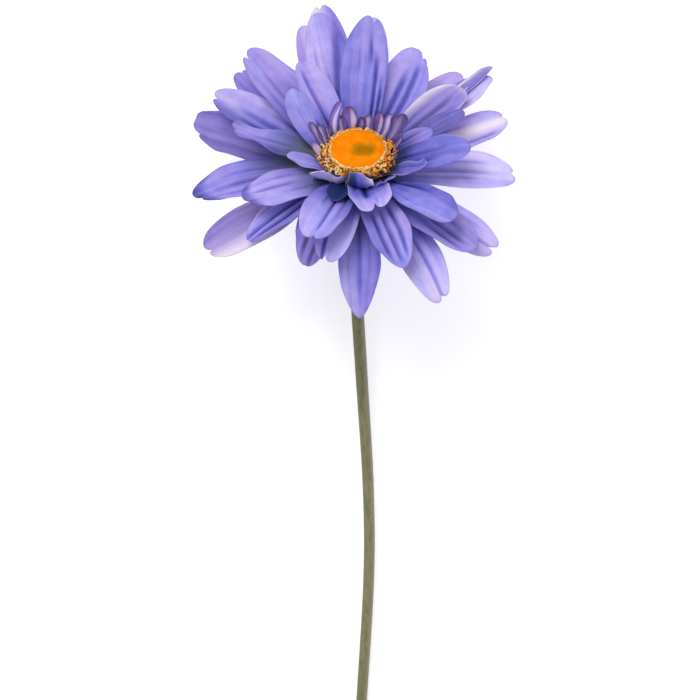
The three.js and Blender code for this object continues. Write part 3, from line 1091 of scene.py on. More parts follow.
@dataclass(frozen=True)
class Tone:
    """What sets a petal's colour apart.

    Each value is a share. light lifts or lowers the whole tone, partly as painted light and shade for how
    the petal lies. side is painted shade that darkens the edge at 1 when it is positive, and the edge at -1
    when it is negative. inner is how far along the deep colour reaches, partly as painted shade at the
    foot, green how far the grey-green foot does, and the pale values place a soft patch across and along.
    rim darkens the edge, or paints a highlight along it when it is negative, tip darkens the tip, and back
    is how dull the lower face is.
    """

    light: float = 0.0
    inner: float = 0.3
    side: float = 0.0
    blush: float = 0.12
    green: float = 0.0
    pale: float = 0.0
    pale_at: float = 0.0
    pale_width: float = 0.5
    pale_from: float = 0.3
    rim: float = 0.7
    tip: float = 0.0
    back: float = 1.0

    def marks(self, s: np.ndarray, t: np.ndarray, groove: np.ndarray, rim: np.ndarray) -> dict:
        """The marks for the finish.

        Args:
            s: places along.
            t: places across.
            groove: 1 in a deep crease.
            rim: 1 at the edge.

        Returns:
            The marks by name, each with one value for each place.
        """
        rise = smooth(s, self.inner - 0.3, self.inner + 0.42)
        # Painted shade: the foot stays deep up to inner, creases darken the tone by their groove mark, and
        # light moves the whole petal, partly for how it lies in the light.
        tone = 0.09 + 0.5 * rise + 0.07 * s + self.light * rise - 0.42 * groove
        # Painted shade along the edge that side points to.
        shaded = smooth(np.sign(self.side) * t, 0, 1)
        tone = tone - 0.16 * self.side * t - 0.2 * abs(self.side) * shaded
        tone = tone - self.tip * smooth(s, 0.86, 1.0)
        pale = self.pale * np.exp(-(((t - self.pale_at) / self.pale_width) ** 2))
        pale = pale * smooth(s, self.pale_from - 0.2, self.pale_from + 0.2) * (1 - 0.5 * groove)
        return {
            "tone": tone,
            # A negative rim paints a highlight along the edge through the pale mark.
            "pale": clamp(pale - 0.8 * min(self.rim, 0) * rim),
            "blush": self.blush * smooth(s, 0.1, 0.6),
            "green": clamp(2 * self.green) * smooth(s, self.green, 0.2 * self.green),
            "rim": max(self.rim, 0) * rim,
        }


@dataclass(frozen=True)
class Petal:
    """One ray petal: its layer, its blade and its tone."""

    name: str
    layer: float
    blade: Blade
    tone: Tone


def creases(*valleys: tuple[float, ...]) -> tuple[Crease, ...]:
    """Creases from the numbers of each."""
    return tuple(Crease(*valley) for valley in valleys)


def ray(
    name: str,
    layer: float,
    turn: float,
    length: float,
    width: float,
    rise: float,
    curl: float,
    tone: Tone = Tone(),
    **shape: Any,
) -> Petal:
    """One line of the petal list: the CAD model's numbers, then a tone and what sets it apart.

    A petal without creases of its own gets three at seeded places, and each gets a seeded twist.

    Args:
        name: which petal it is.
        layer: how high its root sits, from 1 at the back.
        turn: its direction round the bloom, in degrees.
        length: its length in millimetres.
        width: its width in millimetres.
        rise: how steeply it leaves its root, in degrees.
        curl: how much that changes to its tip.
        tone: what sets its colour apart.
        shape: fields of Blade.

    Returns:
        The petal.
    """
    seed = int(abs(turn) * 7 + length * 3) % 97
    draws = seeded_draws(seed, 13)
    valleys = creases(
        *(
            (
                place + 0.09 * draws[3 * i],
                0.1 + 0.1 * draws[3 * i + 1],
                0.78 + 0.14 * draws[3 * i + 2],
                0.42 + 0.2 * draws[9 + i],
            )
            for i, place in enumerate((-0.42, 0.03, 0.45))
        )
    )
    usual = {"ruffle": 0.5, "wobble": 0.035, "twist": 5 * draws[12], "creases": valleys}
    height = RayPetals.layer_base + RayPetals.layer_step * (layer - 1)
    shape = {**usual, **shape}
    blade = Blade(turn, length, width, rise, curl, root_height=height, seed=seed, **shape)
    return Petal(name, layer, blade, tone)


@dataclass(frozen=True)
class RayPetals:
    """The bloom's ray petals, one piece for each layer, and the heart that they grow from."""

    layer_base: float = -12.2
    layer_step: float = 1.1
    thickness: float = 0.36
    grid: tuple[int, int] = (60, 46)
    short_grid: tuple[int, int] = (34, 30)
    short_length: float = 26.0
    seed_span: float = 40.0
    heart_radius: float = 8.8
    heart_bulge: float = 1.2
    heart_bottom: float = -12.9
    heart_top: float = -4.6

    def back(self) -> list[Petal]:
        """The petals of the two rear layers.

        Returns:
            The petals, roughly clockwise from the top.
        """
        return [
            ray("back_top_left", 1, 106, 62.5, 13, 7, 2, Tone(-0.08, blush=0.8, pale=0.3, pale_at=-0.2)),
            ray("back_top_right", 1.5, 85, 62.7, 13, 7, 4, Tone(0.12, blush=0.2)),
            ray("back_upper_right", 1, 53.6, 53, 16, 2, 2, Tone(0.02, blush=0.8), roll=-8),
            ray(
                "back_right", 1.5, 26.5, 51, 16, 4, -5,
                Tone(0.06, 0.15, pale=0.95, pale_at=0.05, pale_width=0.42, pale_from=0.35),
                notches=((0.3, 1.5),),
                creases=creases((-0.55, 0.3, 1.0, 0.9, 0.09), (0.55, 0.2, 0.8, 0.5)),
                slant=0.03,
            ),
            ray(
                "back_low_right", 1, -34, 49, 16.5, 2, -15, Tone(0.2, 0.3, pale=0.15),
                roll=6, notches=((0.12, 4),), slant=0.02,
                creases=creases((0.12, 0.35, 1.2, 0.7), (0.6, 0.4, 0.9, 0.5), (-0.4, 0.3, 0.8, 0.3)),
            ),
            ray(
                "back_bottom", 1, -89.2, 47.5, 15.2, -3, -30,
                Tone(-0.08, -0.05, side=0.5, green=0.55, pale=0.15, pale_at=-0.6),
                tip_along=1.5, tip_across=1.5, fold=0.25,
                creases=creases(
                    (0.02, 0.2, 0.95, 0.5, 0.1), (0.5, 0.3, 0.8, 0.3), (-0.5, 0.4, 0.8, 0.2)
                ),
            ),
            ray(
                "back_low_left", 1, -149.5, 52.5, 17.5, 2, -15,
                Tone(-0.32, 0.4, -0.4, 0.6, pale=0.75, pale_at=0.85, pale_width=0.6, pale_from=0.45),
                base=0.15, ease=1.6, widest=0.68, roll=-4, notches=((0.1, 2),),
            ),
            ray(
                "back_left", 1, 154.7, 56, 16.4, 2, -7, Tone(-0.38, 0.3, 0.3, 0.4, green=0.5),
                base=0.2, widest=0.75, roll=-20, notches=((0.5, 2), (1.0, 3)), slant=-0.045,
                wobble=0.06,
            ),
            ray(
                "back_upper_left", 1.5, 134, 53.8, 15, 8, 0, Tone(-0.3, blush=0.4),
                notches=((-0.2, 1.5),),
            ),
            # Painted shade: the right side is toned dark, as under the petal in front.
            ray(
                "rear_top", 2, 101, 63, 14.5, 12, 9,
                Tone(0, 0.4, -0.7, 0.3, pale=1.0, pale_at=0.6, pale_width=0.6, pale_from=0.8),
                notches=((0.1, 2),),
            ),
            ray(
                "rear_right_split", 2, 42, 56, 13, 5, 2,
                Tone(0.12, 0.3, 0.5, pale=0.25, pale_at=-0.6), roll=-6, cup=0.3,
            ),
            ray(
                "rear_right_curl", 1.4, 44.5, 59.5, 5.4, 5, 4,
                Tone(
                    -0.28, 0.3, -0.4, 0.3,
                    pale=0.6, pale_at=0.9, pale_width=0.3, pale_from=0.5, rim=-0.5,
                ),
                cup=0.7, tip_along=3.6,
            ),
            ray(
                "rear_right_low", 2, 2.9, 47, 17.5, 5, -11,
                Tone(0.24, -0.05, -0.35, blush=0, green=0.25, pale=0.2, pale_from=0.75),
                base=0.4, widest=0.7, sway=-7, roll=4, notches=((0.1, 2),), tip_along=1.7, slant=-0.02,
            ),
            ray(
                "rear_bottom_right", 2, -57.5, 51.5, 15.5, 2, -26, Tone(0.26, 0.42, pale=0.15),
                sway=-7.5, notches=((0.22, 2.7),), slant=-0.01,
                creases=creases(
                    (0.22, 0.4, 1.2, 1.0, 0.09), (-0.3, 0.4, 0.85, 0.3), (0.7, 0.3, 0.9, 0.3)
                ),
            ),
            ray(
                "rear_bottom_left", 2, -121, 34.9, 16.8, 8, -34, Tone(-0.22, blush=0.35),
                base=0.8, widest=0.42, sway=12, tip_along=1.35, slant=0.06,
                creases=creases((-0.3, 0.2, 1.0, 1.0, 0.1), (0.25, 0.2, 1.1, 1.0, 0.1)),
            ),
            ray(
                "rear_left_low", 2, -182.6, 50.2, 17.2, 5, -12, Tone(-0.05, 0.35, green=0.7, tip=0.5),
                notches=((0.4, 1.6),), widest=0.58, sway=28, tip_along=1.4,
                creases=creases(
                    (0.1, 0.3, 0.9, 0.7, 0.1), (-0.4, 0.3, 0.8, 0.4), (0.6, 0.2, 0.9, 0.3)
                ),
            ),
        ]

    def middle(self) -> list[Petal]:
        """The petals of the third layer.

        Returns:
            The petals, roughly clockwise from the top.
        """
        return [
            # Painted shade: a dark band along the right edge, as on a shaded fold.
            ray(
                "mid_top_left", 3, 103, 58, 15, 12, 12, Tone(0.1, 0.25, -0.9), lip=-0.25,
                creases=creases(
                    (0.5, 0.35, 0.9, 0.5), (0.1, 0.2, 0.7, 0.4), (0.76, -0.2, 0.97, 1.0, 0.18, -1.37)
                ),
            ),
            ray(
                "mid_upper_right", 3.1, 65, 47, 17.3, 13, 3, Tone(0.02, 0.25, -0.3),
                roll=5, notches=((-0.3, 2), (-0.75, 1)), slant=0.04, wobble=0.06, ruffle=0.8,
                creases=creases(
                    (0.12, 0.1, 0.85, 1.6, 0.1), (-0.28, 0.1, 0.98, 1.6, 0.1), (0.85, 0.1, 0.5, 0.5, 0.1)
                ),
            ),
            ray(
                "mid_right_up", 3.4, 40.5, 42, 14.5, 12, -1,
                Tone(
                    -0.16, 0.3, 0.0, 0.35,
                    pale=1.0, pale_at=1.0, pale_width=0.26, pale_from=0.5, rim=-0.5,
                ),
                fold=0.15, lip=0.15, base=0.2, ease=1.3, widest=0.68,
                creases=creases(
                    (0.05, 0.1, 0.95, 1.1, 0.14), (0.5, 0.1, 0.8, 0.4, 0.12), (-0.5, 0.3, 0.9, 0.6, 0.13)
                ),
            ),
            ray(
                "mid_low_right", 3, -42.5, 46, 16, 9, -18, Tone(-0.14, blush=0.3),
                creases=creases(
                    (-0.1, 0.45, 1.0, 1.1, 0.1), (-0.5, 0.5, 1.0, 0.8, 0.09), (0.4, 0.3, 0.9, 0.5)
                ),
            ),
            ray(
                "mid_bottom_left", 3.5, -104, 36, 13.5, 14, -30, Tone(0.1, 0.3, -0.5),
                notches=((-0.2, 2.5),),
                creases=creases(
                    (-0.4, 0.4, 1.2, 1.2, 0.1), (0.65, 0.2, 0.8, 0.2, 0.1), (-0.75, 0.2, 0.9, 0.5)
                ),
            ),
            ray(
                "mid_low_left", 3, -144, 41.5, 12, 10, -20, Tone(-0.03, -0.1, 0.8),
                ease=1.3, sway=10, tip_along=1.6, slant=0.06,
                creases=creases(
                    (-0.7, 0.3, 1.0, 0.35, 0.1), (-0.05, 0.15, 1.1, 1.3, 0.11), (0.45, 0.15, 1.0, 1.0, 0.09)
                ),
            ),
            ray(
                "mid_left_up", 3, 149, 51.5, 16, 11, -2,
                Tone(-0.02, 0.3, 1.2, green=0.3, pale=0.25, pale_from=0.75), notches=((0.3, 2.5),),
                creases=creases(
                    (0.02, 0.15, 0.85, 1.1, 0.14), (-0.5, 0.2, 0.7, 0.3), (0.5, 0.2, 0.8, 0.5)
                ),
            ),
        ]

    def front(self) -> list[Petal]:
        """The petals of the fourth layer.

        Returns:
            The petals, roughly clockwise from the top.
        """
        return [
            ray(
                "fore_top", 4, 86.5, 53, 16.5, 20, 4,
                Tone(-0.08, 0.15, blush=0, pale=0.1, pale_from=0.8),
                base=0.34, tip_across=1.85, notches=((-0.45, 3),), slant=-0.05, ruffle=0.7,
                creases=creases(
                    (-0.28, 0.6, 0.92, 1.2, 0.07), (-0.52, 0.1, 0.78, 1.3, 0.08),
                    (-0.8, 0.1, 0.6, 1.0, 0.08), (0.2, 0.5, 0.85, 0.35),
                ),
            ),
            ray(
                "fore_upper_left", 4, 131, 53, 16, 16, 2, Tone(-0.03, 0.42, blush=0.35),
                notches=((0.4, 3),), slant=0.015,
                creases=creases(
                    (-0.34, 0.1, 0.72, 1.1, 0.14), (0.2, 0.3, 0.9, 0.5),
                    (0.6, 0.2, 0.8, 0.3), (-0.7, 0.3, 0.8, 0.2),
                ),
            ),
            ray(
                "fore_bottom_right", 4, -71.5, 41.5, 15, 14, -26, Tone(-0.03, -0.1, -0.5),
                tip_along=1.5, tip_across=1.7,
                creases=creases(
                    (-0.45, 0.32, 1.0, 1.1, 0.09), (0.02, 0.3, 1.0, 1.1, 0.09), (0.48, 0.25, 1.0, 1.0, 0.09)
                ),
            ),
            # Painted shade: this whole petal is toned dark, as if turned away from the light.
            ray("fore_right_dark", 4.3, 27, 35, 7.4, 18, -5, Tone(-0.42, 0.5, blush=0.2), tip_along=3.0),
            ray(
                "fore_left_low", 4, -151, 37.5, 15, 20, -16,
                Tone(0.0, 0.25, blush=0.2, green=0.55, tip=0.6),
                roll=-6, tip_along=1.6, notches=((0.35, 1.5),),
                creases=creases((-0.15, 0.35, 0.95, 0.7), (0.3, 0.2, 0.7, 0.3), (-0.6, 0.3, 0.8, 0.3)),
            ),
            ray("small_upper_right", 4.8, 26, 22, 9, 16, 0, Tone(-0.12), base=0.6, tip_along=1.5),
        ]

    def fore(self) -> list[Petal]:
        """The petals of the fifth layer, and the small curled ones close round the button.

        Returns:
            The petals, the long ones first.
        """
        return [
            ray(
                "front_right", 5, -1, 32.8, 14.5, 25, -12, Tone(-0.2, 0.4, blush=0, green=0.35),
                creases=creases((0.25, 0.1, 0.8, 0.5), (-0.3, 0.1, 0.7, 0.6, 0.1)),
            ),
            ray(
                "front_low_right", 5, -45.6, 38.8, 14.3, 24, -24, Tone(-0.14, 0.22, 0.6, blush=0),
                base=0.14, ease=1.7, widest=0.68, sway=5, slant=-0.03,
                creases=creases(
                    (0.6, 0.1, 0.7, 0.6, 0.14), (0.0, 0.2, 0.6, 0.25), (-0.5, 0.3, 0.8, 0.25)
                ),
            ),
            ray(
                "front_bottom_left", 5, -112, 36.5, 15.5, 28, -34, Tone(0.05, 0.42, 0.4),
                notches=((0.15, 2),),
                creases=creases(
                    (0.15, 0.25, 1.0, 0.9, 0.06), (-0.3, 0.3, 0.6, 0.7, 0.06), (0.6, 0.2, 0.8, 0.4)
                ),
            ),
            ray(
                "front_left_wavy", 5, 163, 38.7, 9.8, 20, -10, Tone(-0.05, 0.45, 0.5, green=0.75),
                sway=20, wave=1.6, hook=38, widest=0.7, tip_along=3.0, notches=((0.2, 2),),
                creases=creases((0.1, 0.3, 0.9, 0.5)),
            ),
            ray(
                "front_left_inner", 5.5, 152.5, 29.6, 10.5, 34, -4, Tone(0.0, 0.2, blush=0),
                cup=0.05, sway=-46, notches=((-0.4, 1.5),),
                creases=creases((-0.6, 0.1, 0.6, 1.0, 0.09), (0.1, 0.3, 0.9, 0.3)),
            ),
            ray(
                "front_top_left", 5, 119, 37, 12, 26, 0, Tone(0.1, 0.25), fold=0.2,
                creases=creases((0.22, 0.1, 1.0, 1.3, 0.12), (-0.5, 0.1, 0.5, 0.6), (-0.2, 0.1, 0.4, 0.4)),
            ),
            ray(
                "small_front", 5.8, -78, 22.5, 15, 28, -18,
                Tone(0.05, 0.45, blush=0, rim=-0.35, back=0.3),
                base=0.6, cup=0.3, slant=-0.03, ruffle=1.2, tip_across=3.0, notches=((0.13, 4.8),),
                creases=creases((-0.15, 0.1, 0.7, 0.8, 0.13), (0.2, 0.6, 1.4, 0.5, 0.08)),
            ),
            # Painted shade: this small petal is toned near black-navy to stand for the shaded hollow under
            # the frill.
            ray(
                "small_hollow", 5.8, -109, 17.5, 9, 30, -18,
                Tone(-1.0, blush=0, rim=0, tip=-0.45, back=0),
                base=0.9, cup=0.3, ruffle=0.4, creases=creases((0.1, 0.2, 1.0, 0.6, 0.3)),
            ),
            ray(
                "small_fold_left", 5.8, -87, 15.7, 9.8, 2, 114,
                Tone(-0.25, 0.5, -1.9, 0, pale=0.6, pale_at=1.0, pale_width=0.55, rim=-0.3, back=0),
                base=0.6, slant=-0.12, ruffle=1.0,
            ),
            ray(
                "small_fold_right", 5.6, -52, 11.3, 9.5, 12, 50,
                Tone(-0.1, 0.6, -0.6, 0, rim=-0.2, back=0),
                base=0.6, slant=0.12, ruffle=0.7, creases=creases((-0.3, 0.3, 1.2, 0.8, 0.2)),
            ),
            ray(
                "small_frill", 5.8, -137, 15.4, 13.2, 5, 88, Tone(0.24, 0.3, blush=0, rim=-0.3, back=0),
                base=0.7, cup=0.0, lip=0.55, ruffle=1.7, sway=46, slant=-0.3,
                notches=((-0.1, 1.5), (0.6, 1.0)),
            ),
            ray(
                "small_right", 5.8, -24, 21.5, 7, 27, -2,
                Tone(-0.26, 0.25, blush=0, green=0.5, rim=-0.3, back=0),
                base=0.75, widest=0.75, tip_along=2.8, cup=0.4, hook=48,
            ),
            ray("small_left", 5.8, -170, 18.5, 6.4, 26, 0, Tone(0.05, 0.1), base=0.6, sway=-9),
        ]

    def petals(self) -> list[Petal]:
        """All the petals, from the back layer to the front one."""
        return [*self.back(), *self.middle(), *self.front(), *self.fore()]

    def build(self, finish: PetalFinish, heart: GreenFinish) -> list[bpy.types.Object]:
        """Makes one piece for each layer, and the heart.

        Args:
            finish: the petals' finish.
            heart: the heart's finish.

        Returns:
            The pieces.
        """
        material = finish.material()
        layers: dict[int, list[Shell]] = {}
        for number, petal in enumerate(self.petals()):
            short = petal.blade.length < self.short_length
            rows, columns = self.short_grid if short else self.grid
            shell = petal.blade.shell(rows, columns, self.thickness)
            s, t = shell.uv[:, 1], 2 * shell.uv[:, 0] - 1
            shell.mark(**petal.tone.marks(s, t, shell.marks["groove"], shell.marks["rim"]))
            shell.mark(seed=number / self.seed_span, under=petal.tone.back * shell.marks["under"])
            layers.setdefault(int(petal.layer), []).append(shell)
        pieces = [
            Shell.joined(shells).piece(f"petals_layer_{layer}", material, "petals", ["ray_petals"])
            for layer, shells in sorted(layers.items())
        ]
        share = np.linspace(0, 1, 9)
        radii = self.heart_radius - self.heart_bulge * np.abs(2 * share - 1) ** 4
        heights = self.heart_bottom + (self.heart_top - self.heart_bottom) * share
        solid = turned_shell(radii, heights, 48).in_row()
        pieces.append(solid.piece("heart", heart.material(), "petals", ["ray_petals"]))
        return pieces


@dataclass(frozen=True)
class Floret:
    """One short floret: its direction, size, rise, sway and roll as in the CAD, hook and shade."""

    turn: float
    length: float
    width: float
    rise: float
    sway: float
    roll: float
    hook: float
    shade: float

    def blade(self, root_radius: float, root_height: float, seed: int) -> Blade:
        """Its blade on the florets' ring.

        Args:
            root_radius: how far its root stands from the bloom's axis.
            root_height: how high its root stands.
            seed: picks its uneven edges.

        Returns:
            The blade, a little wider than the CAD's.
        """
        return Blade(
            self.turn, self.length, self.width + 0.5, self.rise,
            root_radius=root_radius, root_height=root_height,
            sway=self.sway, roll=self.roll, hook=self.hook,
            base=0.5, tip_along=2.4, cup=0.4, ruffle=0.4, wobble=0.13,
            creases=creases((0.2, 0.2, 0.9, 0.2, 0.2)), seed=seed,
        )


@dataclass(frozen=True)
class InnerFlorets:
    """The short strap florets round the back and sides of the button, on their thin ring."""

    ring_radius: float = 11.8
    ring_bottom: float = -3.3
    ring_top: float = -2.5
    root_radius: float = 11.2
    bevel: float = 0.3
    thickness: float = 0.45
    grid: tuple[int, int] = (26, 18)
    seed_step: float = 0.37
    florets: tuple[Floret, ...] = (
        Floret(-15, 5.5, 2.8, 60, 0, 0, 0, 0.8),
        Floret(5, 9.8, 3.2, 62, 0, 0, 20, 0.85),
        Floret(15, 8.6, 3.2, 56, 10, 0, 10, 0.7),
        Floret(27, 13.8, 5.8, 51, 22, 0, 30, 0.9),
        Floret(45, 10.6, 3.0, 58, 8, 10, -10, -0.3),
        Floret(56, 10.8, 3.6, 68, 0, 0, 30, 0.45),
        Floret(71, 8.2, 4.0, 70, 0, -10, 20, 0.35),
        Floret(84, 7, 3, 70, 0, 10, 30, 0.8),
        Floret(102, 11.6, 4.8, 66, -25, 0, 60, 0.0),
        Floret(115, 7.8, 3.2, 64, -10, -10, 0, 0.25),
        Floret(130, 14.4, 3.4, 56, -120, 0, 0, 0.05),
        Floret(140, 7, 3.2, 66, 0, 10, 30, 0.3),
        Floret(152, 9.6, 3.2, 62, 0, -10, 20, 0.1),
        Floret(163, 12.4, 3.0, 58, -26, 0, 0, 0.55),
        Floret(184, 9.4, 3.4, 54, -30, 0, 90, -1.0),
    )

    def build(self, finish: FloretFinish) -> bpy.types.Object:
        """Makes the florets and their ring one piece.

        Args:
            finish: the florets' finish.

        Returns:
            The piece.
        """
        height = (self.ring_bottom + self.ring_top) / 2
        shells = [
            floret.blade(self.root_radius, height, i)
            .shell(*self.grid, self.thickness)
            .mark(seed=i * self.seed_step % 1, shade=floret.shade)
            for i, floret in enumerate(self.florets)
        ]
        ring = washer(self.ring_radius, self.ring_bottom, self.ring_top, self.bevel)
        shells.append(ring.mark(seed=0.5, shade=1.0, rim=1.0))
        return Shell.joined(shells).piece(
            "florets_fine", finish.material(), "florets", ["inner_florets"]
        )


@dataclass(frozen=True)
class Fringe:
    """A group of crinkled strands round the button, with the span of each of their numbers."""

    count: int
    arc: tuple[float, float]
    radius: tuple[float, float]
    height: tuple[float, float]
    length: tuple[float, float]
    rise: tuple[float, float]
    curl: tuple[float, float]
    sway: tuple[float, float]
    hue: tuple[float, float]
    thick: float

    def drawn(self, random: np.random.Generator) -> list[float]:
        """Draws one strand's numbers evenly from their spans.

        Args:
            random: the seeded generator.

        Returns:
            Direction, radius, height, length, rise, curl, sway and hue.
        """
        spans = (
            self.arc, self.radius, self.height, self.length,
            self.rise, self.curl, self.sway, self.hue,
        )
        return [random.uniform(*span) for span in spans]


@dataclass(frozen=True)
class StamenCurls:
    """The crinkled curls round the button on their thin ring, and a finer fringe among them."""

    count: int = 30
    ring_radius: float = 9.4
    ring_bottom: float = -2.2
    ring_top: float = -1.4
    bevel: float = 0.2
    root_radius: float = 8.7
    length: float = 3.7
    front_extra: float = 1.3
    thick: float = 0.4
    crinkle: float = 0.3
    seed: int = 23
    fringe_seed: int = 11
    fringes: tuple[Fringe, ...] = (
        Fringe(
            66, (168, 335), (9.5, 11.0), (-1.7, 0.7), (2.6, 4.4), (0, 70), (-90, 60), (-190, 190),
            (0, 0.82), 0.34,
        ),
        Fringe(
            24, (180, 224), (10.2, 11.4), (-1.6, 0.4), (2.2, 3.8), (10, 70), (-60, 50), (-170, 170),
            (0, 0.95), 0.28,
        ),
        Fringe(
            30, (-45, 20), (9.9, 11.4), (-1.4, 0.8), (2.2, 3.8), (10, 75), (-60, 40), (-150, 150),
            (0.15, 0.95), 0.28,
        ),
        Fringe(
            8, (-4, 16), (10.2, 11.0), (-0.8, 0.2), (2.5, 3.6), (40, 80), (-20, 20), (-60, 60),
            (0.42, 0.55), 0.42,
        ),
        Fringe(
            100, (0, 360), (9.2, 9.7), (0.9, 1.3), (0.7, 1.4), (0, 60), (-30, 60), (-140, 140),
            (0.02, 0.45), 0.19,
        ),
    )

    def strand(self, blade: Blade, thick: float, phase: float, hue: float) -> Shell:
        """One curl: a tube along a blade's middle line, crinkled by a fast sine, blunt at its tip.

        Args:
            blade: gives the path.
            thick: the tube's greatest radius in millimetres.
            phase: where the crinkle's sine starts.
            hue: its place on the finish's row of colours.

        Returns:
            The shell, in the row frame.
        """
        share = np.linspace(0, 1, 13)
        place, across, up = blade.frames(share)
        crinkle = self.crinkle * np.sin(14 * share + phase)[:, None]
        radii = thick * np.interp(share, [0, 0.2, 0.6, 0.9, 1], [0.7, 0.9, 1, 0.9, 0.45])
        path = place + crinkle * across + 0.8 * np.roll(crinkle, 2) * up
        return tube_shell(path, radii, 6).in_row().mark(hue=hue)

    def main_curls(self) -> list[Shell]:
        """The CAD model's curls: each rises past the button's rim and bends back over it.

        Returns:
            One shell for each curl.
        """
        draws = seeded_draws(self.seed, 4 * self.count).reshape(-1, 4)
        shells = []
        for i, (aside, longer, bent, swayed) in enumerate(draws):
            turn = 360 / self.count * i + 2 * aside
            front = float(clamp(-math.sin(math.radians(turn))))
            blade = Blade(
                turn, self.length + self.front_extra * front + 0.3 * longer, 1.0, 5, 88 + 14 * bent,
                root_radius=self.root_radius, root_height=(self.ring_bottom + self.ring_top) / 2,
                sway=12 * swayed,
            )
            shells.append(self.strand(blade, self.thick, 6 * aside, 0.24 + 0.22 * longer))
        return shells

    def fringe_curls(self) -> list[Shell]:
        """The finer strands of every fringe.

        Returns:
            One shell for each strand.
        """
        random = np.random.default_rng(self.fringe_seed)
        shells = []
        for fringe in self.fringes:
            for _ in range(fringe.count):
                turn, radius, height, length, rise, curl, sway, hue = fringe.drawn(random)
                blade = Blade(
                    turn, length, 1.0, rise, curl, root_radius=radius, root_height=height, sway=sway
                )
                shells.append(self.strand(blade, fringe.thick, 6 * hue, hue))
        return shells

    def rim(self, seed: int, radius: float, height: float) -> Shell:
        """A crinkled thread round the button's rim: a circle whose radius and height swell by sines.

        Args:
            seed: picks the swells.
            radius: the circle's radius.
            height: its height.

        Returns:
            The shell, in the row frame.
        """
        angle = np.linspace(0, 2 * math.pi, 240)
        around = np.stack([20 * np.cos(angle), 20 * np.sin(angle)])
        radii = radius + 0.16 * ripple(seed, *around)
        heights = height + 0.2 * ripple(seed + 1, *around)
        places = np.stack([radii * np.cos(angle), radii * np.sin(angle), heights], axis=-1)
        thick = 0.25 + 0.07 * ripple(seed + 2, *around)
        tube = tube_shell(places, thick, 7).in_row()
        return tube.mark(hue=0.14 + 0.14 * np.sin(9 * 2 * math.pi * tube.uv[:, 1] + seed))

    def build(self, finish: CurlFinish) -> bpy.types.Object:
        """Makes the curls, the fringe, the button's crinkled rim and the ring one piece.

        Args:
            finish: the curls' finish.

        Returns:
            The piece.
        """
        ring = washer(self.ring_radius, self.ring_bottom, self.ring_top, self.bevel)
        rims = [self.rim(3, 9.25, 1.35), self.rim(41, 9.7, 0.95)]
        shells = [*self.main_curls(), *self.fringe_curls(), *rims, ring.mark(hue=0.9)]
        return Shell.joined(shells).piece(
            "curls_fine", finish.material(), "curls", ["stamen_curls"]
        )


@dataclass(frozen=True)
class Button:
    """The orange middle: a smooth low dome with a shallow dimple."""

    radius: float = 9.9
    bottom: float = -1.1
    rim: float = 0.5
    top: float = 2.9
    foot: float = 8.6
    dimple: float = 0.6
    swell: float = 0.1

    def build(self, finish: ButtonFinish) -> bpy.types.Object:
        """Makes the button.

        Over its rim the height is rim + (top - rim) * sqrt(1 - share ** 2.6), less a bell-shaped
        dimple, with a low uneven swell.

        Args:
            finish: the button's finish.

        Returns:
            The piece.
        """
        share = np.linspace(1, 0.01, 40)
        dome = np.sqrt(1 - share**2.6)
        dimple = self.dimple * np.exp(-((share / 0.3) ** 2))
        radii = np.concatenate([[self.foot, self.foot + 0.9, self.radius], self.radius * share])
        heights = np.concatenate(
            [
                [self.bottom, self.bottom + 0.5, self.bottom + 0.9],
                self.rim + (self.top - self.rim) * dome - dimple,
            ]
        )
        shell = turned_shell(radii, heights, 96)
        x, y, z = shell.points.T
        shell.points[:, 2] += (z > self.rim) * self.swell * ripple(5, 1.3 * x, 1.3 * y)
        return shell.in_row().piece("button_fine", finish.material(), "button", ["button"])


@dataclass(frozen=True)
class BractRow:
    """A row of bracts: how many, the height of their feet, their size and how far they lean out."""

    count: int
    foot: float
    length: float
    width: float
    lean: float


@dataclass(frozen=True)
class Calyx:
    """The green cup behind the petals with two rows of pointed bracts."""

    top_radius: float = 7.2
    bottom_radius: float = 3.4
    top: float = -13.2
    bottom: float = -23.2
    thickness: float = 0.6
    sink: float = 0.6
    grid: tuple[int, int] = (22, 14)
    rows: tuple[BractRow, ...] = (
        BractRow(9, -21.8, 9.0, 4.2, 50.0),
        BractRow(9, -18.5, 6.5, 4.2, 44.0),
    )
    down: Down = Down(2600, 0.5, 0.04, 31)

    def radius_at(self, height: float) -> float:
        """The cup's radius at a height."""
        share = (height - self.bottom) / (self.top - self.bottom)
        return self.bottom_radius + (self.top_radius - self.bottom_radius) * share

    def build(self, finish: GreenFinish, down: DownFinish) -> list[bpy.types.Object]:
        """Makes the cup and its bracts one piece, and their hairs another.

        Args:
            finish: the skin's finish.
            down: the hairs' finish.

        Returns:
            The two pieces.
        """
        heights = np.linspace(self.bottom, self.top, 12)
        radii = [self.radius_at(height) for height in heights]
        shells = [turned_shell(radii, heights, 64).in_row().mark(tint=0.0)]
        for number, row in enumerate(self.rows):
            for i in range(row.count):
                blade = Blade(
                    360 / row.count * (i + number / 2), row.length, row.width, row.lean, 12,
                    root_radius=self.radius_at(row.foot) - self.sink, root_height=row.foot,
                    base=0.5, widest=0.4, tip_along=1.2, tip_across=1.2, cup=-0.25, seed=i,
                )
                shell = blade.shell(*self.grid, self.thickness)
                shells.append(shell.mark(tint=shell.uv[:, 1] ** 3))
        skin = Shell.joined(shells)
        hairs = self.down.shell(skin)
        return [
            skin.piece("calyx_fine", finish.material(), "bracts", ["calyx"]),
            hairs.piece("calyx_hairs", down.material(), "bracts", ["calyx"]),
        ]


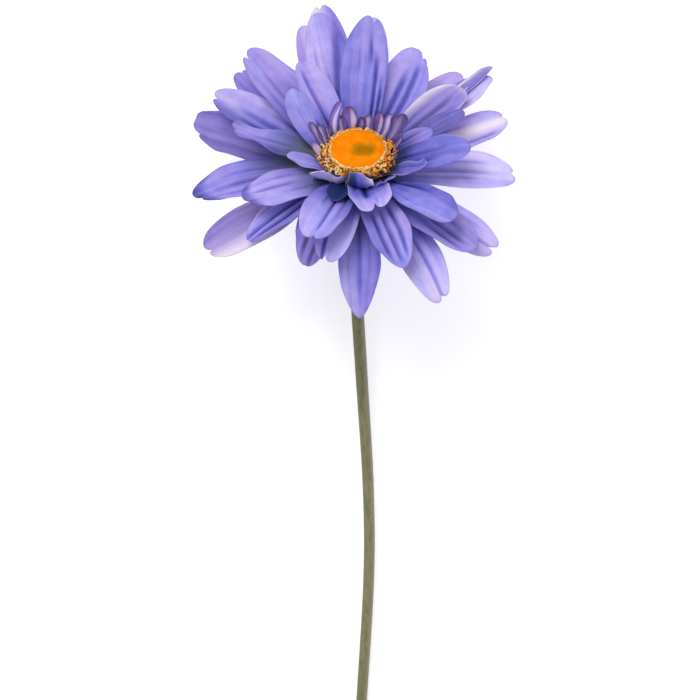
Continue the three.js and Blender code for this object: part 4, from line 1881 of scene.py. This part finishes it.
@dataclass(frozen=True)
class Stalk:
    """The long bare stalk, from under the calyx to its cut end."""

    gap: float = 0.3
    neck: float = 9.0
    end_y: float = -200.0
    radii: tuple[float, ...] = (2.5, 2.05, 1.95, 2.1)
    room_for_down: float = 0.08
    sides: int = 24
    rings: int = 240
    down: Down = Down(6500, 0.42, 0.035, 37)

    def path(self) -> np.ndarray:
        """The stalk's middle line.

        A centripetal spline through given points: out of the calyx along the bloom's axis,
        level, and down to the cut end. It is resampled at even steps of its length.

        Returns:
            One place for each ring, in the row frame.
        """
        top = bloom_to_row(np.array((0.0, 0.0, Calyx.bottom - self.gap)))
        neck = bloom_to_row(np.array((0.0, 0.0, Calyx.bottom - self.gap - self.neck)))
        knots = np.array(
            [
                top,
                neck,
                (0.6, 104, 11.5),
                (2.4, 72, 8),
                (4.9, 30, 6.4),
                (5.2, 2, 5.4),
                (2.8, -42, 4.3),
                (-0.8, -92, 3.3),
                (-4.2, -146, 2.5),
                (-6.5, self.end_y, self.radii[-1] * math.cos(math.pi / 8)),
            ]
        )
        before = 2 * knots[0] - knots[1]
        after = 2 * knots[-1] - knots[-2]
        chain = np.concatenate([[before], knots, [after]])
        fine = []
        for a, b, c, d in zip(chain, chain[1:], chain[2:], chain[3:]):
            gaps = [np.linalg.norm(q - p) ** 0.5 for p, q in ((a, b), (b, c), (c, d))]
            start = ((b - a) / gaps[0] - (c - a) / (gaps[0] + gaps[1]) + (c - b) / gaps[1]) * gaps[1]
            stop = ((c - b) / gaps[1] - (d - b) / (gaps[1] + gaps[2]) + (d - c) / gaps[2]) * gaps[1]
            u = np.linspace(0, 1, 60, endpoint=False)[:, None]
            fine.append(
                (2 * u**3 - 3 * u**2 + 1) * b
                + (u**3 - 2 * u**2 + u) * start
                + (3 * u**2 - 2 * u**3) * c
                + (u**3 - u**2) * stop
            )
        line = np.concatenate([*fine, knots[-1:]])
        walked = np.concatenate([[0], np.cumsum(np.linalg.norm(np.diff(line, axis=0), axis=1))])
        even = np.linspace(0, walked[-1], self.rings)
        return np.stack([np.interp(even, walked, line[:, axis]) for axis in range(3)], axis=-1)

    def build(self, finish: GreenFinish, down: DownFinish) -> list[bpy.types.Object]:
        """Makes the stalk, a round tube with a cut end, and its hairs.

        Args:
            finish: the skin's finish.
            down: the hairs' finish.

        Returns:
            The two pieces.
        """
        places = self.path()
        share = np.linspace(0, 1, self.rings)
        radii = np.interp(share, np.linspace(0, 1, len(self.radii)), self.radii)
        shell = tube_shell(places, radii - self.room_for_down, self.sides)
        around = np.cos(2 * math.pi * shell.uv[:, 0])
        # On the stalk, rim paints shade down the left side, and tint gives the right side a paler
        # grey-pink.
        shell.mark(tint=0.8 * smooth(around, 0.1, 0.9), rim=0.9 * smooth(-around, 0.45, 0.95))
        hairs = self.down.shell(shell)
        hairs.points[:, 2] = np.maximum(hairs.points[:, 2], 0.0)
        return [
            shell.piece("stalk_fine", finish.material(), "stalk", ["stem"]),
            hairs.piece("stalk_hairs", down.material(), "stalk", ["stem"]),
        ]


# The studio


class Lamp(Enum):
    """The studio's lamps: place and side in metres, power in watts."""

    KEY = ((-0.35, 0.85, 1.0), 0.8, 9.5)
    FILL = ((0.7, -0.5, 0.9), 1.2, 2.0)


@dataclass(frozen=True)
class Studio:
    """Floor, soft light and the camera, which looks straight down on the bloom."""

    camera: tuple[float, float, float] = (-1.55, 78.6, 1046.8)
    lens: float = 151.26
    floor_side: float = 6.0
    sky: float = 0.56
    glow: float = 0.4

    def floor(self) -> None:
        """A pale plane under the flower, with a soft glow of its own."""
        shader = Shader("studio_floor")
        cloud = shader.noise(shader.millimetres(), 0.01, 2.0)
        colour = shader.mix(cloud * 0.5, (0.93, 0.93, 0.94), (0.9, 0.9, 0.91))
        material = shader.finish(
            Base_Color=colour,
            Roughness=0.9,
            Emission_Color=(1.0, 1.0, 1.0),
            Emission_Strength=self.glow,
        )
        half = self.floor_side / 2
        mesh = bpy.data.meshes.new("floor")
        corners = [(-half, -half, 0), (half, -half, 0), (half, half, 0), (-half, half, 0)]
        mesh.from_pydata(corners, [], [(0, 1, 2, 3)])
        mesh.materials.append(material)
        floor = bpy.data.objects.new("floor", mesh)
        bpy.context.scene.collection.objects.link(floor)
        floor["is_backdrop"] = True

    def lamps(self) -> None:
        """The area lamps, aimed at the bloom, and an even pale sky."""
        aim = BLOOM_CENTRE * MM
        for lamp in Lamp:
            place, side, power = lamp.value
            light = bpy.data.lights.new(lamp.name.lower(), "AREA")
            light.size = side
            light.energy = power
            holder = bpy.data.objects.new(lamp.name.lower(), light)
            back = np.array(place) - aim
            holder.location = place
            turn = math.atan2(back[0], -back[1])
            lean = math.acos(back[2] / np.linalg.norm(back))
            holder.rotation_euler = (lean, 0.0, turn)
            bpy.context.scene.collection.objects.link(holder)
        world = bpy.data.worlds.new("studio")
        world.use_nodes = True
        background = world.node_tree.nodes["Background"]
        background.inputs[0].default_value = (1.0, 1.0, 1.0, 1.0)
        background.inputs[1].default_value = self.sky
        bpy.context.scene.world = world

    def view(self) -> None:
        """The camera, straight above, with the picture's top toward +Y."""
        camera = bpy.data.cameras.new("camera")
        camera.lens = self.lens
        camera.sensor_width = 36.0
        camera.clip_start = 0.05
        camera.clip_end = 20.0
        holder = bpy.data.objects.new("camera", camera)
        holder.location = [value * MM for value in self.camera]
        bpy.context.scene.collection.objects.link(holder)
        bpy.context.scene.camera = holder
        bpy.context.scene.view_settings.view_transform = "Standard"

    def build(self) -> None:
        """Sets up floor, light and camera."""
        self.floor()
        self.lamps()
        self.view()
        log.info("studio: floor, %d lamps and camera", len(Lamp))


def corners() -> list[list[float]]:
    """The shown object's lowest and highest corner, as plain lists."""
    return [list(corner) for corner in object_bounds()]


def main() -> None:
    """Builds the flower's pieces in order, then the studio."""
    logging.basicConfig(level=logging.INFO, format="%(message)s")
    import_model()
    # The heart is dark navy as painted shade where it shows between the petal roots.
    heart = GreenFinish(
        "heart_painted_shade",
        main=(0.07, 0.09, 0.17),
        dark=(0.03, 0.04, 0.10),
        light=(0.12, 0.15, 0.18),
        side=(0.1, 0.1, 0.1),
        edge=(0.03, 0.04, 0.10),
    )
    bracts = GreenFinish(
        "bract_down",
        main=(0.16, 0.23, 0.065),
        dark=(0.09, 0.15, 0.04),
        light=(0.30, 0.37, 0.17),
        side=(0.11, 0.07, 0.05),
        edge=(0.045, 0.075, 0.02),
    )
    stalk = GreenFinish(
        "stalk_down",
        main=(0.225, 0.215, 0.10),
        dark=(0.14, 0.155, 0.055),
        light=(0.42, 0.38, 0.25),
        side=(0.30, 0.245, 0.19),
        edge=(0.12, 0.10, 0.055),
    )
    RayPetals().build(PetalFinish(), heart)
    InnerFlorets().build(FloretFinish())
    StamenCurls().build(CurlFinish())
    Button().build(ButtonFinish())
    Calyx().build(bracts, DownFinish("bract_hairs", (0.42, 0.48, 0.28)))
    Stalk().build(stalk, DownFinish("stalk_hairs", (0.50, 0.46, 0.33)))
    Studio().build()
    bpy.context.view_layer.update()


if __name__ == "__main__":
    main()
